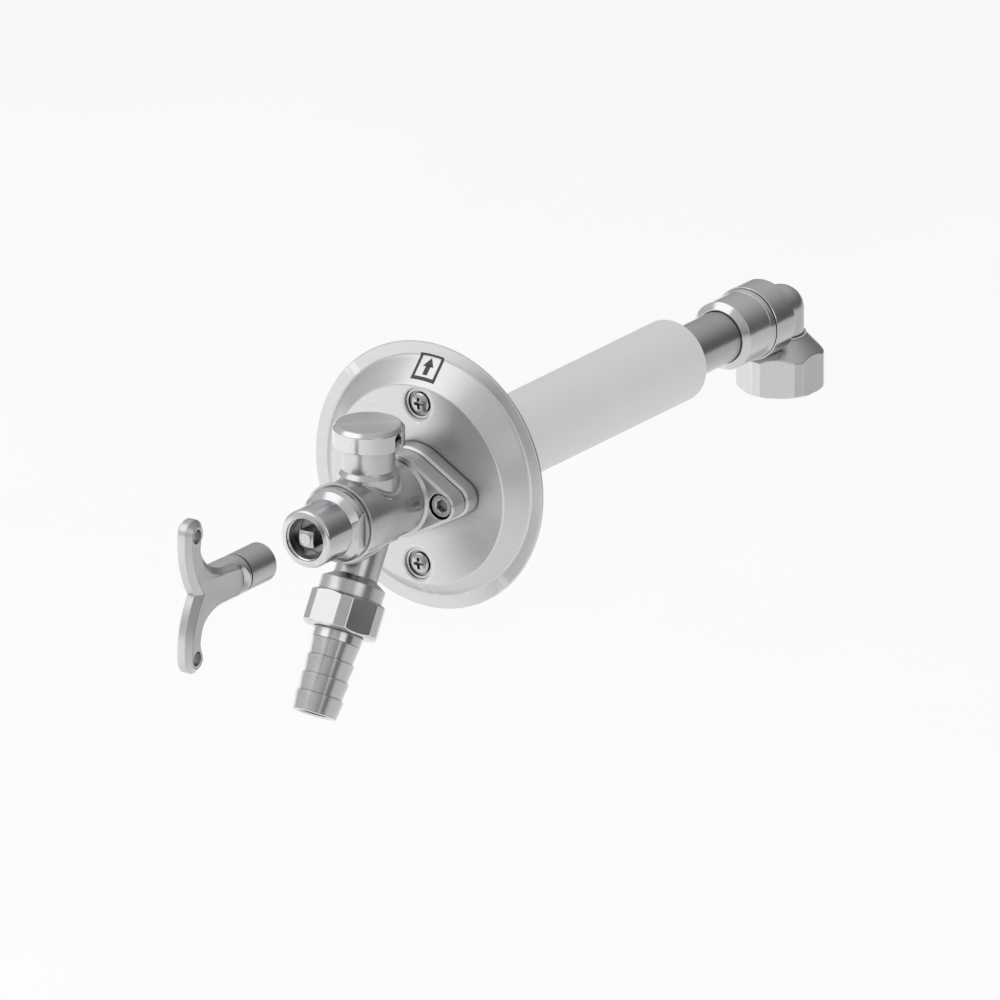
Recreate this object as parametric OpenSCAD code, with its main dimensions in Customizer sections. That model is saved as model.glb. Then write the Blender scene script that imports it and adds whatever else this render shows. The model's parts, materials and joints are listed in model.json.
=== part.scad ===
// Frost-proof garden tap: bib body on a round wall plate, through-wall pipe in a sleeve,
// warm-side valve in the rear coupling, angled hose outlet and a loose square key.
// Millimetres. Origin: where the tap axis meets the wall surface. +Y runs into the wall,
// -Y is the front, +Z is up. The tap axis slopes down towards the front.

/* [Whole tap] */
// downward slope of the tap axis, degrees
tap_tilt = 2; // [0:0.5:5]
// shift of the tap's own zero towards the front
tap_fwd = 0.43; // [0:0.01:2]
// radial running clearance of turning and sliding fits
run_gap = 0.06; // [0.02:0.01:0.1]
// radial clearance of screwed and pushed joints
join_gap = 0.05; // [0.02:0.01:0.2]
// end float left between faces that turn on each other
face_gap = 0.1; // [0.05:0.05:0.4]
// general wall of the castings
cast_wall = 2.5; // [1.5:0.1:4]

/* [Wall plate] */
// radius of the flat rim on the wall
rim_r = 56.5; // [45:0.5:70]
// radius where the dished part starts
dish_r = 50.7; // [40:0.1:65]
// radius of the raised disc
disc_r = 42.7; // [35:0.1:60]
// height of the disc face above the tap's zero
disc_rise = 8.3; // [4:0.1:15]
// sheet thickness
plate_t = 1; // [0.8:0.1:2]
// height of the rim centre above the tap axis at the wall
rim_rise = 1.9; // [0:0.1:4]
// distance of each wall screw from the tap axis
wall_screw_z = 34.7; // [28:0.1:38]
// radius of the wall screw shank
wall_screw_r = 2.4; // [2:0.1:3]
// radius of the countersunk screw head
wall_head_r = 4.4; // [3.5:0.1:6]
// radius of the round recess around each screw head
recess_r = 6.8; // [5:0.1:9]
// depth of the recess below the disc face
recess_deep = 1.2; // [0.5:0.1:3]
// length of the wall screws behind the wall surface
wall_screw_in = 32; // [20:1:60]

/* [Flanges] */
// half distance between the two flange screws
flange_reach = 22.6; // [18:0.1:30]
// centre radius of the body flange
body_flange_r = 17.9; // [15:0.1:24]
// end radius of the body flange
body_flange_end_r = 6.5; // [5:0.1:10]
// centre radius of the pipe flange
pipe_flange_r = 18.7; // [15:0.1:25]
// end radius of the pipe flange
pipe_flange_end_r = 7.4; // [5:0.1:10]
// thickness of the body flange
body_flange_t = 8.8; // [5:0.1:12]
// thickness of the pipe flange
pipe_flange_t = 7.4; // [4:0.1:12]
// thickness of the gasket
gasket_t = 0.5; // [0.3:0.1:2]
// edge bevel of both flanges
flange_bevel = 1; // [0.5:0.1:2]
// radius of the flange screw thread
flange_screw_r = 3; // [2.5:0.5:4]
// radius of the socket head
flange_head_r = 5; // [4:0.1:6.5]
// height of the low socket head
flange_head_h = 4; // [3:0.5:8]
// radius of the counterbore for the head
counterbore_r = 5.5; // [4.5:0.1:7]
// width across flats of the hexagon socket
hex_key_af = 5; // [4:1:6]

/* [Tap body] */
// front face of the body, along the tap axis
body_front_y = -64.7; // [-75:0.1:-55]
// radius of the front collar
collar_r = 17.1; // [15:0.1:20]
// width of the front collar
collar_w = 1.2; // [0.8:0.1:4]
// radius of the barrel
barrel_r = 15.9; // [13:0.1:20]
// radius of the fillet to the flange
barrel_fillet = 1.2; // [0.5:0.1:2]
// thread radius of the bonnet joint
bonnet_thread_r = 13; // [11:0.1:14.5]
// length of the bonnet thread in the body
bonnet_thread_len = 12.2; // [8:0.1:16]
// radius of the mixing chamber in the barrel
chamber_r = 11.5; // [9:0.1:13]
// radius of the water way through the flanges
water_r = 9.5; // [7:0.1:10]

/* [Turret] */
// turret axis along the tap axis
turret_y = -43.3; // [-50:0.1:-36]
// radius of the turret root
turret_root_r = 12.4; // [11:0.1:14]
// height where the root starts to taper
turret_root_z = 15.9; // [14:0.1:20]
// radius of the neck
neck_r = 11; // [9:0.1:13]
// height where the neck starts
neck_z = 18; // [16:0.1:24]
// height of the neck's top edge
neck_top_z = 32; // [28:0.1:34]
// lower edge of the cap
cap_bottom_z = 28.25; // [24:0.05:30]
// radius of the cap
cap_r = 14.9; // [12:0.1:18]
// height where the cap's top bevel starts
cap_bevel_z = 35.4; // [32:0.1:38]
// top of the cap
cap_top_z = 37.4; // [34:0.1:44]
// radius of the cap's top face
cap_top_r = 13.3; // [10:0.1:15]
// width of the air slots in the cap
slot_w = 4.4; // [2:0.1:6]
// radius of the seat pocket for the air valve
pocket_r = 9; // [7:0.1:10]
// height of the pocket floor
pocket_z = 24; // [20:0.1:26]
// lift of the air valve float
float_lift = 2.5; // [1:0.1:4]

/* [Outlet] */
// angle of the outlet from straight down towards the front
outlet_angle = 30; // [0:1:60]
// where the outlet axis crosses the tap axis
outlet_y = -37.2; // [-45:0.1:-30]
// radius of the outlet tube
outlet_r = 9.3; // [8:0.1:12]
// start of the shoulder along the outlet
shoulder_l = 31.2; // [25:0.1:40]
// length of the shoulder cone between outlet tube and collar
shoulder_len = 2.65; // [1:0.05:5]
// length of the outlet collar
collar_len = 5.85; // [4:0.05:9]
// radius of the outlet collar
outlet_collar_r = 13.6; // [12:0.1:15]
// radius of the outlet thread
outlet_thread_r = 13.2; // [10:0.1:14]
// length of the outlet thread below the collar
outlet_thread_len = 8.2; // [6:0.1:12]
// radius of the outlet water way
outlet_bore_r = 7.3; // [5:0.1:8]

/* [Hose joint] */
// width across the wide flats of the hose nut
nut_af = 30.8; // [28:0.1:34]
// width across the narrow corner flats
nut_corner_af = 32.5; // [30:0.1:36]
// end bevel radius of the nut
nut_bevel_r = 14.9; // [14:0.1:17]
// thickness of the hose washer
hose_washer_t = 2.3; // [1.5:0.1:4]
// end wall of the nut
nut_wall = 1.9; // [1.5:0.1:3]
// thickness of the flange that the nut clamps
tail_flange_t = 2.2; // [1.5:0.1:4]
// radius of the hose tail neck
tail_r = 10.25; // [8:0.05:13]
// length of the plain neck below the nut
tail_neck_len = 4.5; // [3:0.1:8]
// small radius in front of each barb
barb_low_r = 9.3; // [8:0.05:12]
// length from the neck to the first barb edge
barb_first_len = 7.6; // [4:0.1:12]
// distance between barbs
barb_pitch = 7.7; // [4:0.1:12]
// number of barb steps
barb_count = 3; // [2:1:5]
// length of the tail below the last barb edge
tail_last_len = 7.9; // [4:0.1:12]
// bore radius of the hose tail
tail_bore_r = 7; // [5:0.1:8.5]

/* [Bonnet] */
// front face of the nose
nose_y = -89; // [-100:0.1:-80]
// radius of the nose
nose_r = 12.45; // [10:0.05:15]
// rounding radius of the nose edge
nose_round = 3.2; // [1:0.1:4]
// rear end of the nose
nose_rear_y = -72.5; // [-80:0.1:-68]
// start of the step behind the cone
step_y = -69.8; // [-75:0.1:-66]
// radius of the step at its front
step_front_r = 15; // [13:0.1:16]
// radius of the step at its rear
step_rear_r = 15.8; // [14:0.1:17]
// front edge of the wrench flange
wrench_y = -67.5; // [-70:0.1:-65]
// radius of the wrench flange
wrench_r = 16.7; // [15:0.1:19]
// distance across the wrench flats
wrench_af = 29; // [26:0.5:32]
// radius of the key recess
recess_bore_r = 8.6; // [7:0.1:10]
// floor of the key recess
recess_floor_y = -78.5; // [-84:0.1:-74]
// radius of the bore behind the spindle wall
gland_r = 8.5; // [7:0.1:10]
// rear face of the spindle wall
gland_y = -71.5; // [-76:0.1:-68]
// rear end of the bonnet sleeve
bonnet_rear_y = -53; // [-58:0.1:-48]

/* [Spindle] */
// side of the spindle square
square_af = 7; // [5:0.5:10]
// front end of the square
square_y = -88.4; // [-95:0.1:-80]
// radius of the square's round end face
square_end_r = 2.5; // [1.5:0.1:3.5]
// radius of the spindle neck
spindle_r = 5; // [4:0.1:6]
// thickness of the thrust collar
thrust_t = 3; // [2:0.1:5]
// radius of the thrust collar
thrust_r = 8; // [6:0.1:9]
// radius of the spindle screw
screw_r = 4; // [3:0.5:5]
// rear end of the spindle screw
screw_end_y = -50; // [-56:0.1:-44]
// ring section radius of the small seal rings
seal_r = 0.55; // [0.4:0.05:1]

/* [Valve rod] */
// side of the square rod block
block_af = 10; // [8:0.5:12]
// front face of the rod block with the valve shut
block_y = -60; // [-64:0.5:-56]
// length of the rod block
block_len = 18; // [14:0.5:24]
// depth of the screw bore in the block
block_bore_len = 15; // [10:0.5:20]
// radius of the valve rod
rod_r = 3.5; // [3:0.5:5]
// radius of the valve head
head_r = 8; // [6:0.1:9]
// radius of the valve washer
washer_r = 6.8; // [5:0.1:8]

/* [Wall pipe] */
// outer radius of the sleeve
sleeve_r = 17.5; // [14:0.1:25]
// wall of the sleeve
sleeve_t = 1; // [0.8:0.1:3]
// rear end of the sleeve
sleeve_end_y = 172; // [80:1:400]
// outer radius of the water pipe
pipe_r = 11; // [7.5:0.5:14]
// wall of the water pipe
pipe_t = 1.1; // [0.8:0.1:2]
// rear end of the water pipe
pipe_end_y = 221.8; // [120:0.1:450]

/* [Rear fitting] */
// front face of the compression nut
comp_y = 205.9; // [110:0.1:440]
// radius of the compression nut's front opening lip
comp_lip_r = 11.75; // [11:0.05:13]
// radius of the compression nut
comp_r = 14.4; // [13:0.1:18]
// radius of the compression nut's rear flare
comp_flare_r = 15.1; // [14:0.1:18]
// rear face of the compression nut
comp_end_y = 225.2; // [130:0.1:460]
// radius of the compression thread
comp_thread_r = 13; // [12:0.1:14]
// radius of the coupling
coupling_r = 15.6; // [14:0.1:20]
// rear face of the coupling
coupling_end_y = 238.3; // [140:0.1:470]
// front face of the valve seat ring
seat_y = 229.5; // [135:0.1:465]
// thickness of the valve seat ring
seat_t = 3; // [2:0.1:5]
// radius of the hole in the valve seat
seat_bore_r = 5.2; // [4:0.1:6]
// radius of the elbow's screwed end
elbow_thread_r = 12; // [10:0.1:13]
// radius of the elbow
elbow_r = 9.8; // [9:0.1:13]
// axis of the downward branch
branch_y = 249.1; // [150:0.1:480]
// lower end of the plain branch, where the inlet union starts
branch_z = -9.9; // [-14:0.1:-6]
// lower end of the union's cone
cone_z = -18.7; // [-24:0.1:-14]
// radius of the union's cone at its lower end
cone_r = 18; // [16:0.1:21]
// lower face of the inlet union
union_z = -33.8; // [-40:0.1:-28]
// width across the wide flats of the inlet union
union_af = 33; // [30:0.5:38]
// width across the narrow corner flats of the inlet union
union_corner_af = 35.8; // [32:0.1:42]
// radius of the inlet thread bore
inlet_r = 12.1; // [10:0.1:13.2]

/* [Key] */
// rear end of the key shank, with the key taken off
key_end_y = -120.4; // [-150:0.1:-110]
// radius of the key shank
key_shank_r = 8.4; // [7:0.1:9]
// radius of the key boss
key_boss_r = 8.6; // [7.5:0.1:11]
// rear edge of the key boss
key_boss_y = -141; // [-150:0.1:-135]
// front edge of the wings
key_front_y = -176.5; // [-200:0.1:-160]
// tip radius of each wing
wing_tip_r = 6.2; // [4:0.1:9]
// half span of the wings
wing_reach = 33.3; // [25:0.1:45]
// half thickness of the wings
wing_t = 3.9; // [2.5:0.1:6]
// half width of the flat front edge
wing_flat = 1.7; // [1:0.1:3]
// depth of the bevels at the front
wing_bevel = 2.5; // [1:0.1:3.5]
// depth of the bevels at the rear
wing_rear_bevel = 2.5; // [0.5:0.1:3.5]
// radius of the holes in the wings
wing_hole_r = 3.1; // [2:0.1:4]
// depth of the notch between the wings
notch_deep = 8; // [4:0.1:12]
// how much deeper the notch is in the side faces
notch_extra = 1.5; // [0:0.1:3]
// depth of the waist behind each wing tip
waist_deep = 1.7; // [0:0.1:4]
// rounding of the shank's end
key_edge = 0.4; // [0.1:0.1:1]
// half thickness of the boss flats at their rear end
tongue_t = 6.2; // [4:0.1:8]
// outer radius of the key's square insert
insert_r = 6.3; // [5.5:0.1:7]
// play of the square insert on the spindle square
square_play = 0.2; // [0.1:0.05:0.5]

/* [Hidden] */
$fn = 96;
cut = 1;
sheet = 0.02;
steps = 6;
// flange faces
pipe_flange_y = -disc_rise - pipe_flange_t;
gasket_y = pipe_flange_y - gasket_t;
body_flange_y = gasket_y - body_flange_t;
screw_floor_y = body_flange_y + 1 + flange_head_h;
spigot_r = sleeve_r - sleeve_t - join_gap;
spigot_end_y = 8;
pipe_stop_y = pipe_flange_y + 2.7;
// bonnet and spindle
thrust_y = gland_y + face_gap;
clip_y = thrust_y + thrust_t + face_gap;
clip_t = 1;
guide_y = clip_y + clip_t + 0.5;
groove_floor_r = spindle_r - 2 * seal_r;
seal_w = 2 * seal_r + 0.2;
seal_ys = [recess_floor_y + 2.2, gland_y - 2];
// air valve
seat_low_z = pocket_z + 5.2;
disc_t = 1.5;
disc_out_r = 6.6;
stem_r = 3;
float_z = pocket_z + face_gap;
float_washer_t = seat_low_z - float_z - disc_t - float_lift - face_gap;
cap_roof_z = cap_top_z - 1.5;
cap_cavity_r = cap_r - 2.1;
// hose joint, each place worked out from the one above it along the outlet
collar_l = shoulder_l + shoulder_len;
nut_top_l = collar_l + collar_len + face_gap;
outlet_end_l = nut_top_l + outlet_thread_len;
tail_flange_l = outlet_end_l + hose_washer_t;
nut_floor_l = tail_flange_l + tail_flange_t + face_gap;
nut_end_l = nut_floor_l + nut_wall;
tail_neck_l = nut_end_l + tail_neck_len;
barb_l = tail_neck_l + barb_first_len;
tail_end_l = barb_l + (barb_count - 1) * barb_pitch + tail_last_len;
neck_start_l = nut_end_l + face_gap;
nut_bore_r = outlet_thread_r + run_gap;
nut_hole_r = tail_r + 0.2;
tail_guide_r = tail_r - 0.45;
flange_out_r = outlet_thread_r - 0.3;
tail_edge = 0.3;
// rear valve
lip_h = 0.75;
washer_face_y = seat_y - lip_h - sheet;
washer_t = 3.2;
head_y = washer_face_y - 6.4;
head_end_y = washer_face_y - 1.2;
rod_end_y = head_y + 3;
bore_r = pipe_r + join_gap;
olive_r = pipe_r + 1.4;
olive_y = comp_y + 4.1;
olive_slope = 1.6;
olive_flat = 1.4;
coupling_front_y = olive_y + olive_slope + olive_flat + 0.4;
spigot_z = branch_z - 7;
branch_spigot_r = elbow_r - 0.8;
// key
insert_len = 12.5;
socket_wall = 1.5;
insert_sunk = 0.4;
wing_mid_y = key_front_y + wing_tip_r;
wing_rear_y = wing_mid_y + wing_tip_r;
wing_mid_z = wing_reach - wing_tip_r;
bulge_z = wing_mid_z - 2;
flare_z = wing_mid_z - 6;
flare_end_y = key_boss_y - 9;
root_y = key_boss_y - 5;
tongue_y = key_boss_y - 4;
boss_front_y = flare_end_y - 12;
wedge_y = boss_front_y - 2;
notch_z = wing_mid_z - 3;
groove_y1 = key_boss_y + 3;
groove_half = 0.4;
groove_sink = 0.5;
hole_z = wing_mid_z - 0.6;
// wall screws
wall_head_t = 2;
wall_shank_r = wall_screw_r - 0.5;
screw_point = 3;
cross_len = wall_head_r;
cross_w = 1;
cross_deep = 1.4;

// children placed in the tap's own sloping frame
module tap() {
    rotate([tap_tilt, 0, 0])
        translate([0, -tap_fwd, 0])
            children();
}

// children placed with +Z along the outlet
module along_outlet() {
    tap()
        translate([0, outlet_y, 0])
            rotate([180 - outlet_angle, 0, 0])
                children();
}

// turned solid about the Y axis from points [radius, y]
module turned_y(points) {
    rotate([-90, 0, 0])
        rotate_extrude()
            polygon(points);
}

// plain cylinder along Y
module rod_y(y0, y1, r) {
    translate([0, y0, 0])
        rotate([-90, 0, 0])
            cylinder(h = y1 - y0, r = r);
}

// square bar along Y
module bar_y(y0, y1, side) {
    translate([-side / 2, y0, -side / 2])
        cube([side, y1 - y0, side]);
}

// outline of a lozenge flange: a centre circle and two end circles with common tangents
function lozenge_outline(big, small) =
    let (a = acos((big - small) / flange_reach))
    concat([for (i = [0 : steps * 2]) let (t = -a + 2 * a * i / (steps * 2))
            [flange_reach + small * cos(t), small * sin(t)]],
        [for (i = [0 : steps * 2]) let (t = a + (180 - 2 * a) * i / (steps * 2))
            [big * cos(t), big * sin(t)]],
        [for (i = [0 : steps * 2]) let (t = 180 - a + 2 * a * i / (steps * 2))
            [-flange_reach + small * cos(t), small * sin(t)]],
        [for (i = [0 : steps * 2]) let (t = 180 + a + (180 - 2 * a) * i / (steps * 2))
            [big * cos(t), big * sin(t)]]);

// lozenge flange from y0 to y1 with a bevel on its front edge
module lozenge(y0, y1, big, small, bevel) {
    translate([0, y1, 0])
        rotate([90, 0, 0])
            hull() {
                linear_extrude(height = y1 - y0 - bevel)
                    polygon(lozenge_outline(big, small));
                if (bevel > 0)
                    linear_extrude(height = y1 - y0)
                        polygon(lozenge_outline(big - bevel, small - bevel));
            }
}

// the two flange screw positions
module at_flange_screws() {
    for (side = [-1, 1])
        translate([side * flange_reach, 0, 0])
            children();
}

// front face of the disc seen along a wall screw, measured from the wall
function disc_face(z) = -(tap_fwd + disc_rise) / cos(tap_tilt) - z * tan(tap_tilt);

// outer or inner side of the dished plate
module dish(inset, shift) {
    hull() {
        translate([0, 0, rim_rise])
            rod_y(shift - plate_t, shift - plate_t + sheet, dish_r - inset, $fn = 72);
        tap()
            rod_y(shift - disc_rise, shift - disc_rise + sheet, disc_r - inset, $fn = 72);
    }
}

// cover plate: flat rim, dish and raised disc, with two screw pillars behind
module wall_plate() {
    color("silver")
        difference() {
            union() {
                difference() {
                    union() {
                        translate([0, 0, rim_rise])
                            rod_y(-plate_t, 0, rim_r);
                        dish(0, 0);
                    }
                    dish(0.45, plate_t);
                }
                for (z = [-wall_screw_z, wall_screw_z])
                    translate([0, 0, z])
                        rod_y(disc_face(z) + plate_t / 2, 0, recess_r + plate_t);
            }
            tap()
                rod_y(-disc_rise - cut, spigot_end_y, spigot_r + join_gap);
            for (z = [-wall_screw_z, wall_screw_z])
                translate([0, disc_face(z) + recess_deep, z])
                    turned_y([[0, -recess_deep - cut], [recess_r, -recess_deep - cut],
                        [recess_r, 0], [wall_head_r, 0],
                        [wall_screw_r + join_gap, wall_head_t],
                        [wall_screw_r + join_gap, 2 * disc_rise],
                        [0, 2 * disc_rise]]);
        }
}

// two countersunk cross-head screws that reach into the wall
module plate_screws() {
    color("gainsboro")
        for (z = [-wall_screw_z, wall_screw_z])
            translate([0, 0, z])
                difference() {
                    turned_y([[0, disc_face(z) + recess_deep],
                        [wall_head_r, disc_face(z) + recess_deep],
                        [wall_screw_r, disc_face(z) + recess_deep + wall_head_t],
                        [wall_shank_r, disc_face(z) + recess_deep + wall_head_t
                            + wall_screw_r - wall_shank_r],
                        [wall_shank_r, 0], [wall_screw_r, 0],
                        [wall_screw_r, wall_screw_in - screw_point],
                        [0, wall_screw_in]]);
                    for (turn = [0, 90])
                        rotate([0, turn, 0])
                            translate([-cross_len / 2, disc_face(z), -cross_w / 2])
                                cube([cross_len, recess_deep + cross_deep, cross_w]);
                }
}

// rear lozenge flange that carries the water pipe and centres plate and sleeve
module pipe_flange() {
    color("lightgray")
        tap()
            difference() {
                union() {
                    lozenge(pipe_flange_y, -disc_rise, pipe_flange_r, pipe_flange_end_r,
                        flange_bevel);
                    rod_y(-disc_rise - cut, spigot_end_y, spigot_r);
                }
                turned_y([[0, pipe_flange_y - cut], [water_r, pipe_flange_y - cut],
                    [water_r, pipe_stop_y], [bore_r, pipe_stop_y],
                    [bore_r, spigot_end_y + cut], [0, spigot_end_y + cut]]);
                at_flange_screws()
                    rod_y(pipe_flange_y - cut, -disc_rise - 1, flange_screw_r);
            }
}

// flat gasket between the two flanges
module flange_gasket() {
    color("dimgray")
        tap()
            difference() {
                lozenge(gasket_y, pipe_flange_y, body_flange_r - 0.5,
                    body_flange_end_r - 0.5, 0);
                rod_y(gasket_y - cut, pipe_flange_y + cut, water_r);
                at_flange_screws()
                    rod_y(gasket_y - cut, pipe_flange_y + cut, flange_screw_r + 0.3);
            }
}

// fillet points from the barrel to the flange
function barrel_arc() = [for (i = [0 : steps])
    let (a = 90 * i / steps)
    [barrel_r + barrel_fillet * (1 - cos(a)),
     body_flange_y - barrel_fillet + barrel_fillet * sin(a)]];

// cast bib body: barrel, flange, turret neck and angled outlet
module tap_body() {
    color("silver")
        difference() {
            union() {
                tap() {
                    turned_y(concat([[0, body_front_y], [collar_r, body_front_y],
                        [collar_r, body_front_y + collar_w],
                        [barrel_r, body_front_y + collar_w]], barrel_arc(),
                        [[0, body_flange_y + cut]]));
                    lozenge(body_flange_y, gasket_y, body_flange_r, body_flange_end_r,
                        flange_bevel);
                    translate([0, turret_y, 0])
                        rotate_extrude()
                            polygon([[0, 0], [turret_root_r, 0],
                                [turret_root_r, turret_root_z], [neck_r, neck_z],
                                [neck_r, neck_top_z], [0, neck_top_z]]);
                }
                along_outlet()
                    rotate_extrude()
                        polygon([[0, 0], [outlet_r, 0], [outlet_r, shoulder_l],
                            [outlet_collar_r, collar_l],
                            [outlet_collar_r, nut_top_l - face_gap],
                            [outlet_thread_r, nut_top_l - face_gap],
                            [outlet_thread_r, outlet_end_l], [0, outlet_end_l]]);
            }
            tap() {
                turned_y([[0, body_front_y - cut], [bonnet_thread_r, body_front_y - cut],
                    [bonnet_thread_r, body_front_y + bonnet_thread_len],
                    [chamber_r, body_front_y + bonnet_thread_len],
                    [chamber_r, body_flange_y - cast_wall],
                    [water_r, body_flange_y - cast_wall],
                    [water_r, gasket_y + cut], [0, gasket_y + cut]]);
                translate([0, turret_y, 0])
                    rotate_extrude()
                        polygon([[0, 0], [5.8, 0], [5.8, pocket_z], [pocket_r, pocket_z],
                            [pocket_r, neck_top_z + cut], [0, neck_top_z + cut]]);
                at_flange_screws() {
                    rod_y(body_flange_y - cut, gasket_y + cut, flange_screw_r + 0.3);
                    rod_y(body_flange_y - cut, screw_floor_y, counterbore_r);
                }
            }
            along_outlet()
                cylinder(h = outlet_end_l + cut, r = outlet_bore_r);
        }
}

// two low socket-head screws through the flanges
module flange_screws() {
    color("gainsboro")
        tap()
            at_flange_screws()
                difference() {
                    turned_y([[0, screw_floor_y - flange_head_h],
                        [flange_head_r - 0.4, screw_floor_y - flange_head_h],
                        [flange_head_r, screw_floor_y - flange_head_h + 0.4],
                        [flange_head_r, screw_floor_y], [flange_screw_r, screw_floor_y],
                        [flange_screw_r, -disc_rise - 1.5], [0, -disc_rise - 1.5]]);
                    translate([0, screw_floor_y - flange_head_h - cut, 0])
                        rotate([-90, 0, 0])
                            cylinder(h = cut + 2.4, r = hex_key_af / sqrt(3), $fn = 6);
                }
}

// rounding points of the nose edge
function nose_arc() = [for (i = [0 : steps])
    let (a = 90 * i / steps)
    [nose_r - nose_round + nose_round * sin(a), nose_y + nose_round - nose_round * cos(a)]];

// bonnet screwed into the body, with the key recess in its nose
module bonnet() {
    thread_r = bonnet_thread_r - join_gap;
    groove_y = body_front_y + 2.4;
    color("silver")
        tap()
            difference() {
                turned_y(concat([[0, nose_y]], nose_arc(),
                    [[nose_r, nose_rear_y], [step_front_r, step_y],
                     [step_rear_r, wrench_y], [wrench_r, wrench_y + 0.8],
                     [wrench_r, body_front_y], [thread_r, body_front_y],
                     [thread_r, groove_y], [thread_r - 1.6, groove_y],
                     [thread_r - 1.6, groove_y + 2], [thread_r, groove_y + 2],
                     [thread_r, bonnet_rear_y], [0, bonnet_rear_y]]));
                turned_y([[0, nose_y - cut], [recess_bore_r, nose_y - cut],
                    [recess_bore_r, recess_floor_y], [spindle_r + run_gap, recess_floor_y],
                    [spindle_r + run_gap, gland_y], [gland_r, gland_y],
                    [gland_r, clip_y - 0.05], [gland_r + 0.8, clip_y - 0.05],
                    [gland_r + 0.8, clip_y + clip_t + 0.05],
                    [gland_r, clip_y + clip_t + 0.05],
                    [gland_r, bonnet_rear_y + cut], [0, bonnet_rear_y + cut]]);
                for (side = [-1, 1])
                    translate([side * (wrench_af + wrench_r) / 2 - wrench_r / 2, step_y - 1,
                        -wrench_r])
                        cube([wrench_r, body_front_y - step_y + 1, 2 * wrench_r]);
            }
}

// seal ring in the bonnet sleeve
module bonnet_seal() {
    color("dimgray")
        tap()
            translate([0, body_front_y + 3.4, 0])
                rotate([-90, 0, 0])
                    rotate_extrude()
                        translate([bonnet_thread_r - join_gap - 0.75, 0])
                            circle(r = 0.75, $fn = 32);
}

// rotating spindle: key square, neck with ring grooves, thrust collar and screw
module spindle() {
    color("gainsboro")
        tap()
            union() {
                intersection() {
                    bar_y(square_y, recess_floor_y, square_af);
                    turned_y([[0, square_y], [square_end_r, square_y],
                        [spindle_r + 1, square_y + spindle_r + 1 - square_end_r],
                        [spindle_r + 1, recess_floor_y], [0, recess_floor_y]]);
                }
                difference() {
                    turned_y([[0, recess_floor_y - 1], [spindle_r, recess_floor_y - 1],
                        [spindle_r, thrust_y], [thrust_r, thrust_y],
                        [thrust_r, thrust_y + thrust_t], [screw_r, thrust_y + thrust_t],
                        [screw_r, screw_end_y - 1], [screw_r - 1, screw_end_y],
                        [0, screw_end_y]]);
                    for (y = seal_ys)
                        turned_y([[groove_floor_r, y - seal_w / 2],
                            [spindle_r + cut, y - seal_w / 2],
                            [spindle_r + cut, y + seal_w / 2],
                            [groove_floor_r, y + seal_w / 2]]);
                }
            }
}

// two seal rings on the spindle neck
module spindle_seals() {
    color("dimgray")
        tap()
            for (y = seal_ys)
                translate([0, y, 0])
                    rotate([-90, 0, 0])
                        rotate_extrude()
                            translate([groove_floor_r + seal_r, 0])
                                circle(r = seal_r, $fn = 24);
}

// open snap ring that holds the spindle in the bonnet
module spindle_clip() {
    color("gainsboro")
        tap()
            difference() {
                turned_y([[thrust_r - 1.8, clip_y], [gland_r + 0.7, clip_y],
                    [gland_r + 0.7, clip_y + clip_t], [thrust_r - 1.8, clip_y + clip_t]]);
                translate([-1.5, clip_y - cut, 0])
                    cube([3, clip_t + 2 * cut, 12]);
            }
}

// pushed-in guide whose square hole keeps the rod from turning
module rod_guide() {
    color("white")
        tap()
            difference() {
                rod_y(guide_y, bonnet_rear_y, gland_r - join_gap);
                bar_y(guide_y - cut, bonnet_rear_y + cut, block_af + 2 * run_gap);
            }
}

// turret cap with a rounded air slot on each side
module breaker_cap() {
    color("silver")
        tap()
            translate([0, turret_y, 0])
                difference() {
                    rotate_extrude()
                        polygon([[neck_r + join_gap, cap_bottom_z], [cap_r, cap_bottom_z],
                            [cap_r, cap_bevel_z], [cap_top_r, cap_top_z], [0, cap_top_z],
                            [0, cap_roof_z], [cap_cavity_r, cap_roof_z],
                            [cap_cavity_r, neck_top_z - 1], [neck_r + join_gap,
                            neck_top_z - 1]]);
                    for (side = [-1, 1])
                        translate([side * (cap_r - 0.4), 0, 0]) {
                            translate([-2.6, -slot_w / 2, cap_bottom_z - cut])
                                cube([5.2, slot_w, cap_bevel_z - slot_w / 2
                                    - cap_bottom_z + cut]);
                            translate([-2.6, 0, cap_bevel_z - slot_w / 2])
                                rotate([0, 90, 0])
                                    cylinder(h = 5.2, r = slot_w / 2);
                        }
                }
}

// air valve seat pressed into the turret
module breaker_seat() {
    color("white")
        tap()
            translate([0, turret_y, 0])
                difference() {
                    rotate_extrude()
                        polygon([[7, pocket_z], [pocket_r - join_gap, pocket_z],
                            [pocket_r - join_gap, pocket_z + 2],
                            [pocket_r - 1.1, pocket_z + 2],
                            [pocket_r - 1.1, pocket_z + 3.6],
                            [pocket_r - join_gap, pocket_z + 3.6],
                            [pocket_r - join_gap, neck_top_z],
                            [stem_r + run_gap, neck_top_z],
                            [stem_r + run_gap, seat_low_z], [7, seat_low_z]]);
                    for (turn = [45 : 90 : 315])
                        rotate([0, 0, turn])
                            translate([5.1, 0, seat_low_z - cut])
                                cylinder(h = neck_top_z - seat_low_z + 2 * cut, r = 1.1);
                }
}

// seal ring around the air valve seat
module breaker_seal() {
    color("dimgray")
        tap()
            translate([0, turret_y, pocket_z + 2.8])
                rotate_extrude()
                    translate([pocket_r - 0.55, 0])
                        circle(r = 0.55, $fn = 24);
}

// lifting float of the air valve
module breaker_float() {
    color("white")
        tap()
            translate([0, turret_y, 0])
                rotate_extrude()
                    polygon([[0, float_z], [disc_out_r, float_z],
                        [disc_out_r, float_z + disc_t], [stem_r, float_z + disc_t],
                        [stem_r, neck_top_z + 0.2], [stem_r - 0.4, neck_top_z + 0.6],
                        [0, neck_top_z + 0.6]]);
}

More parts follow.
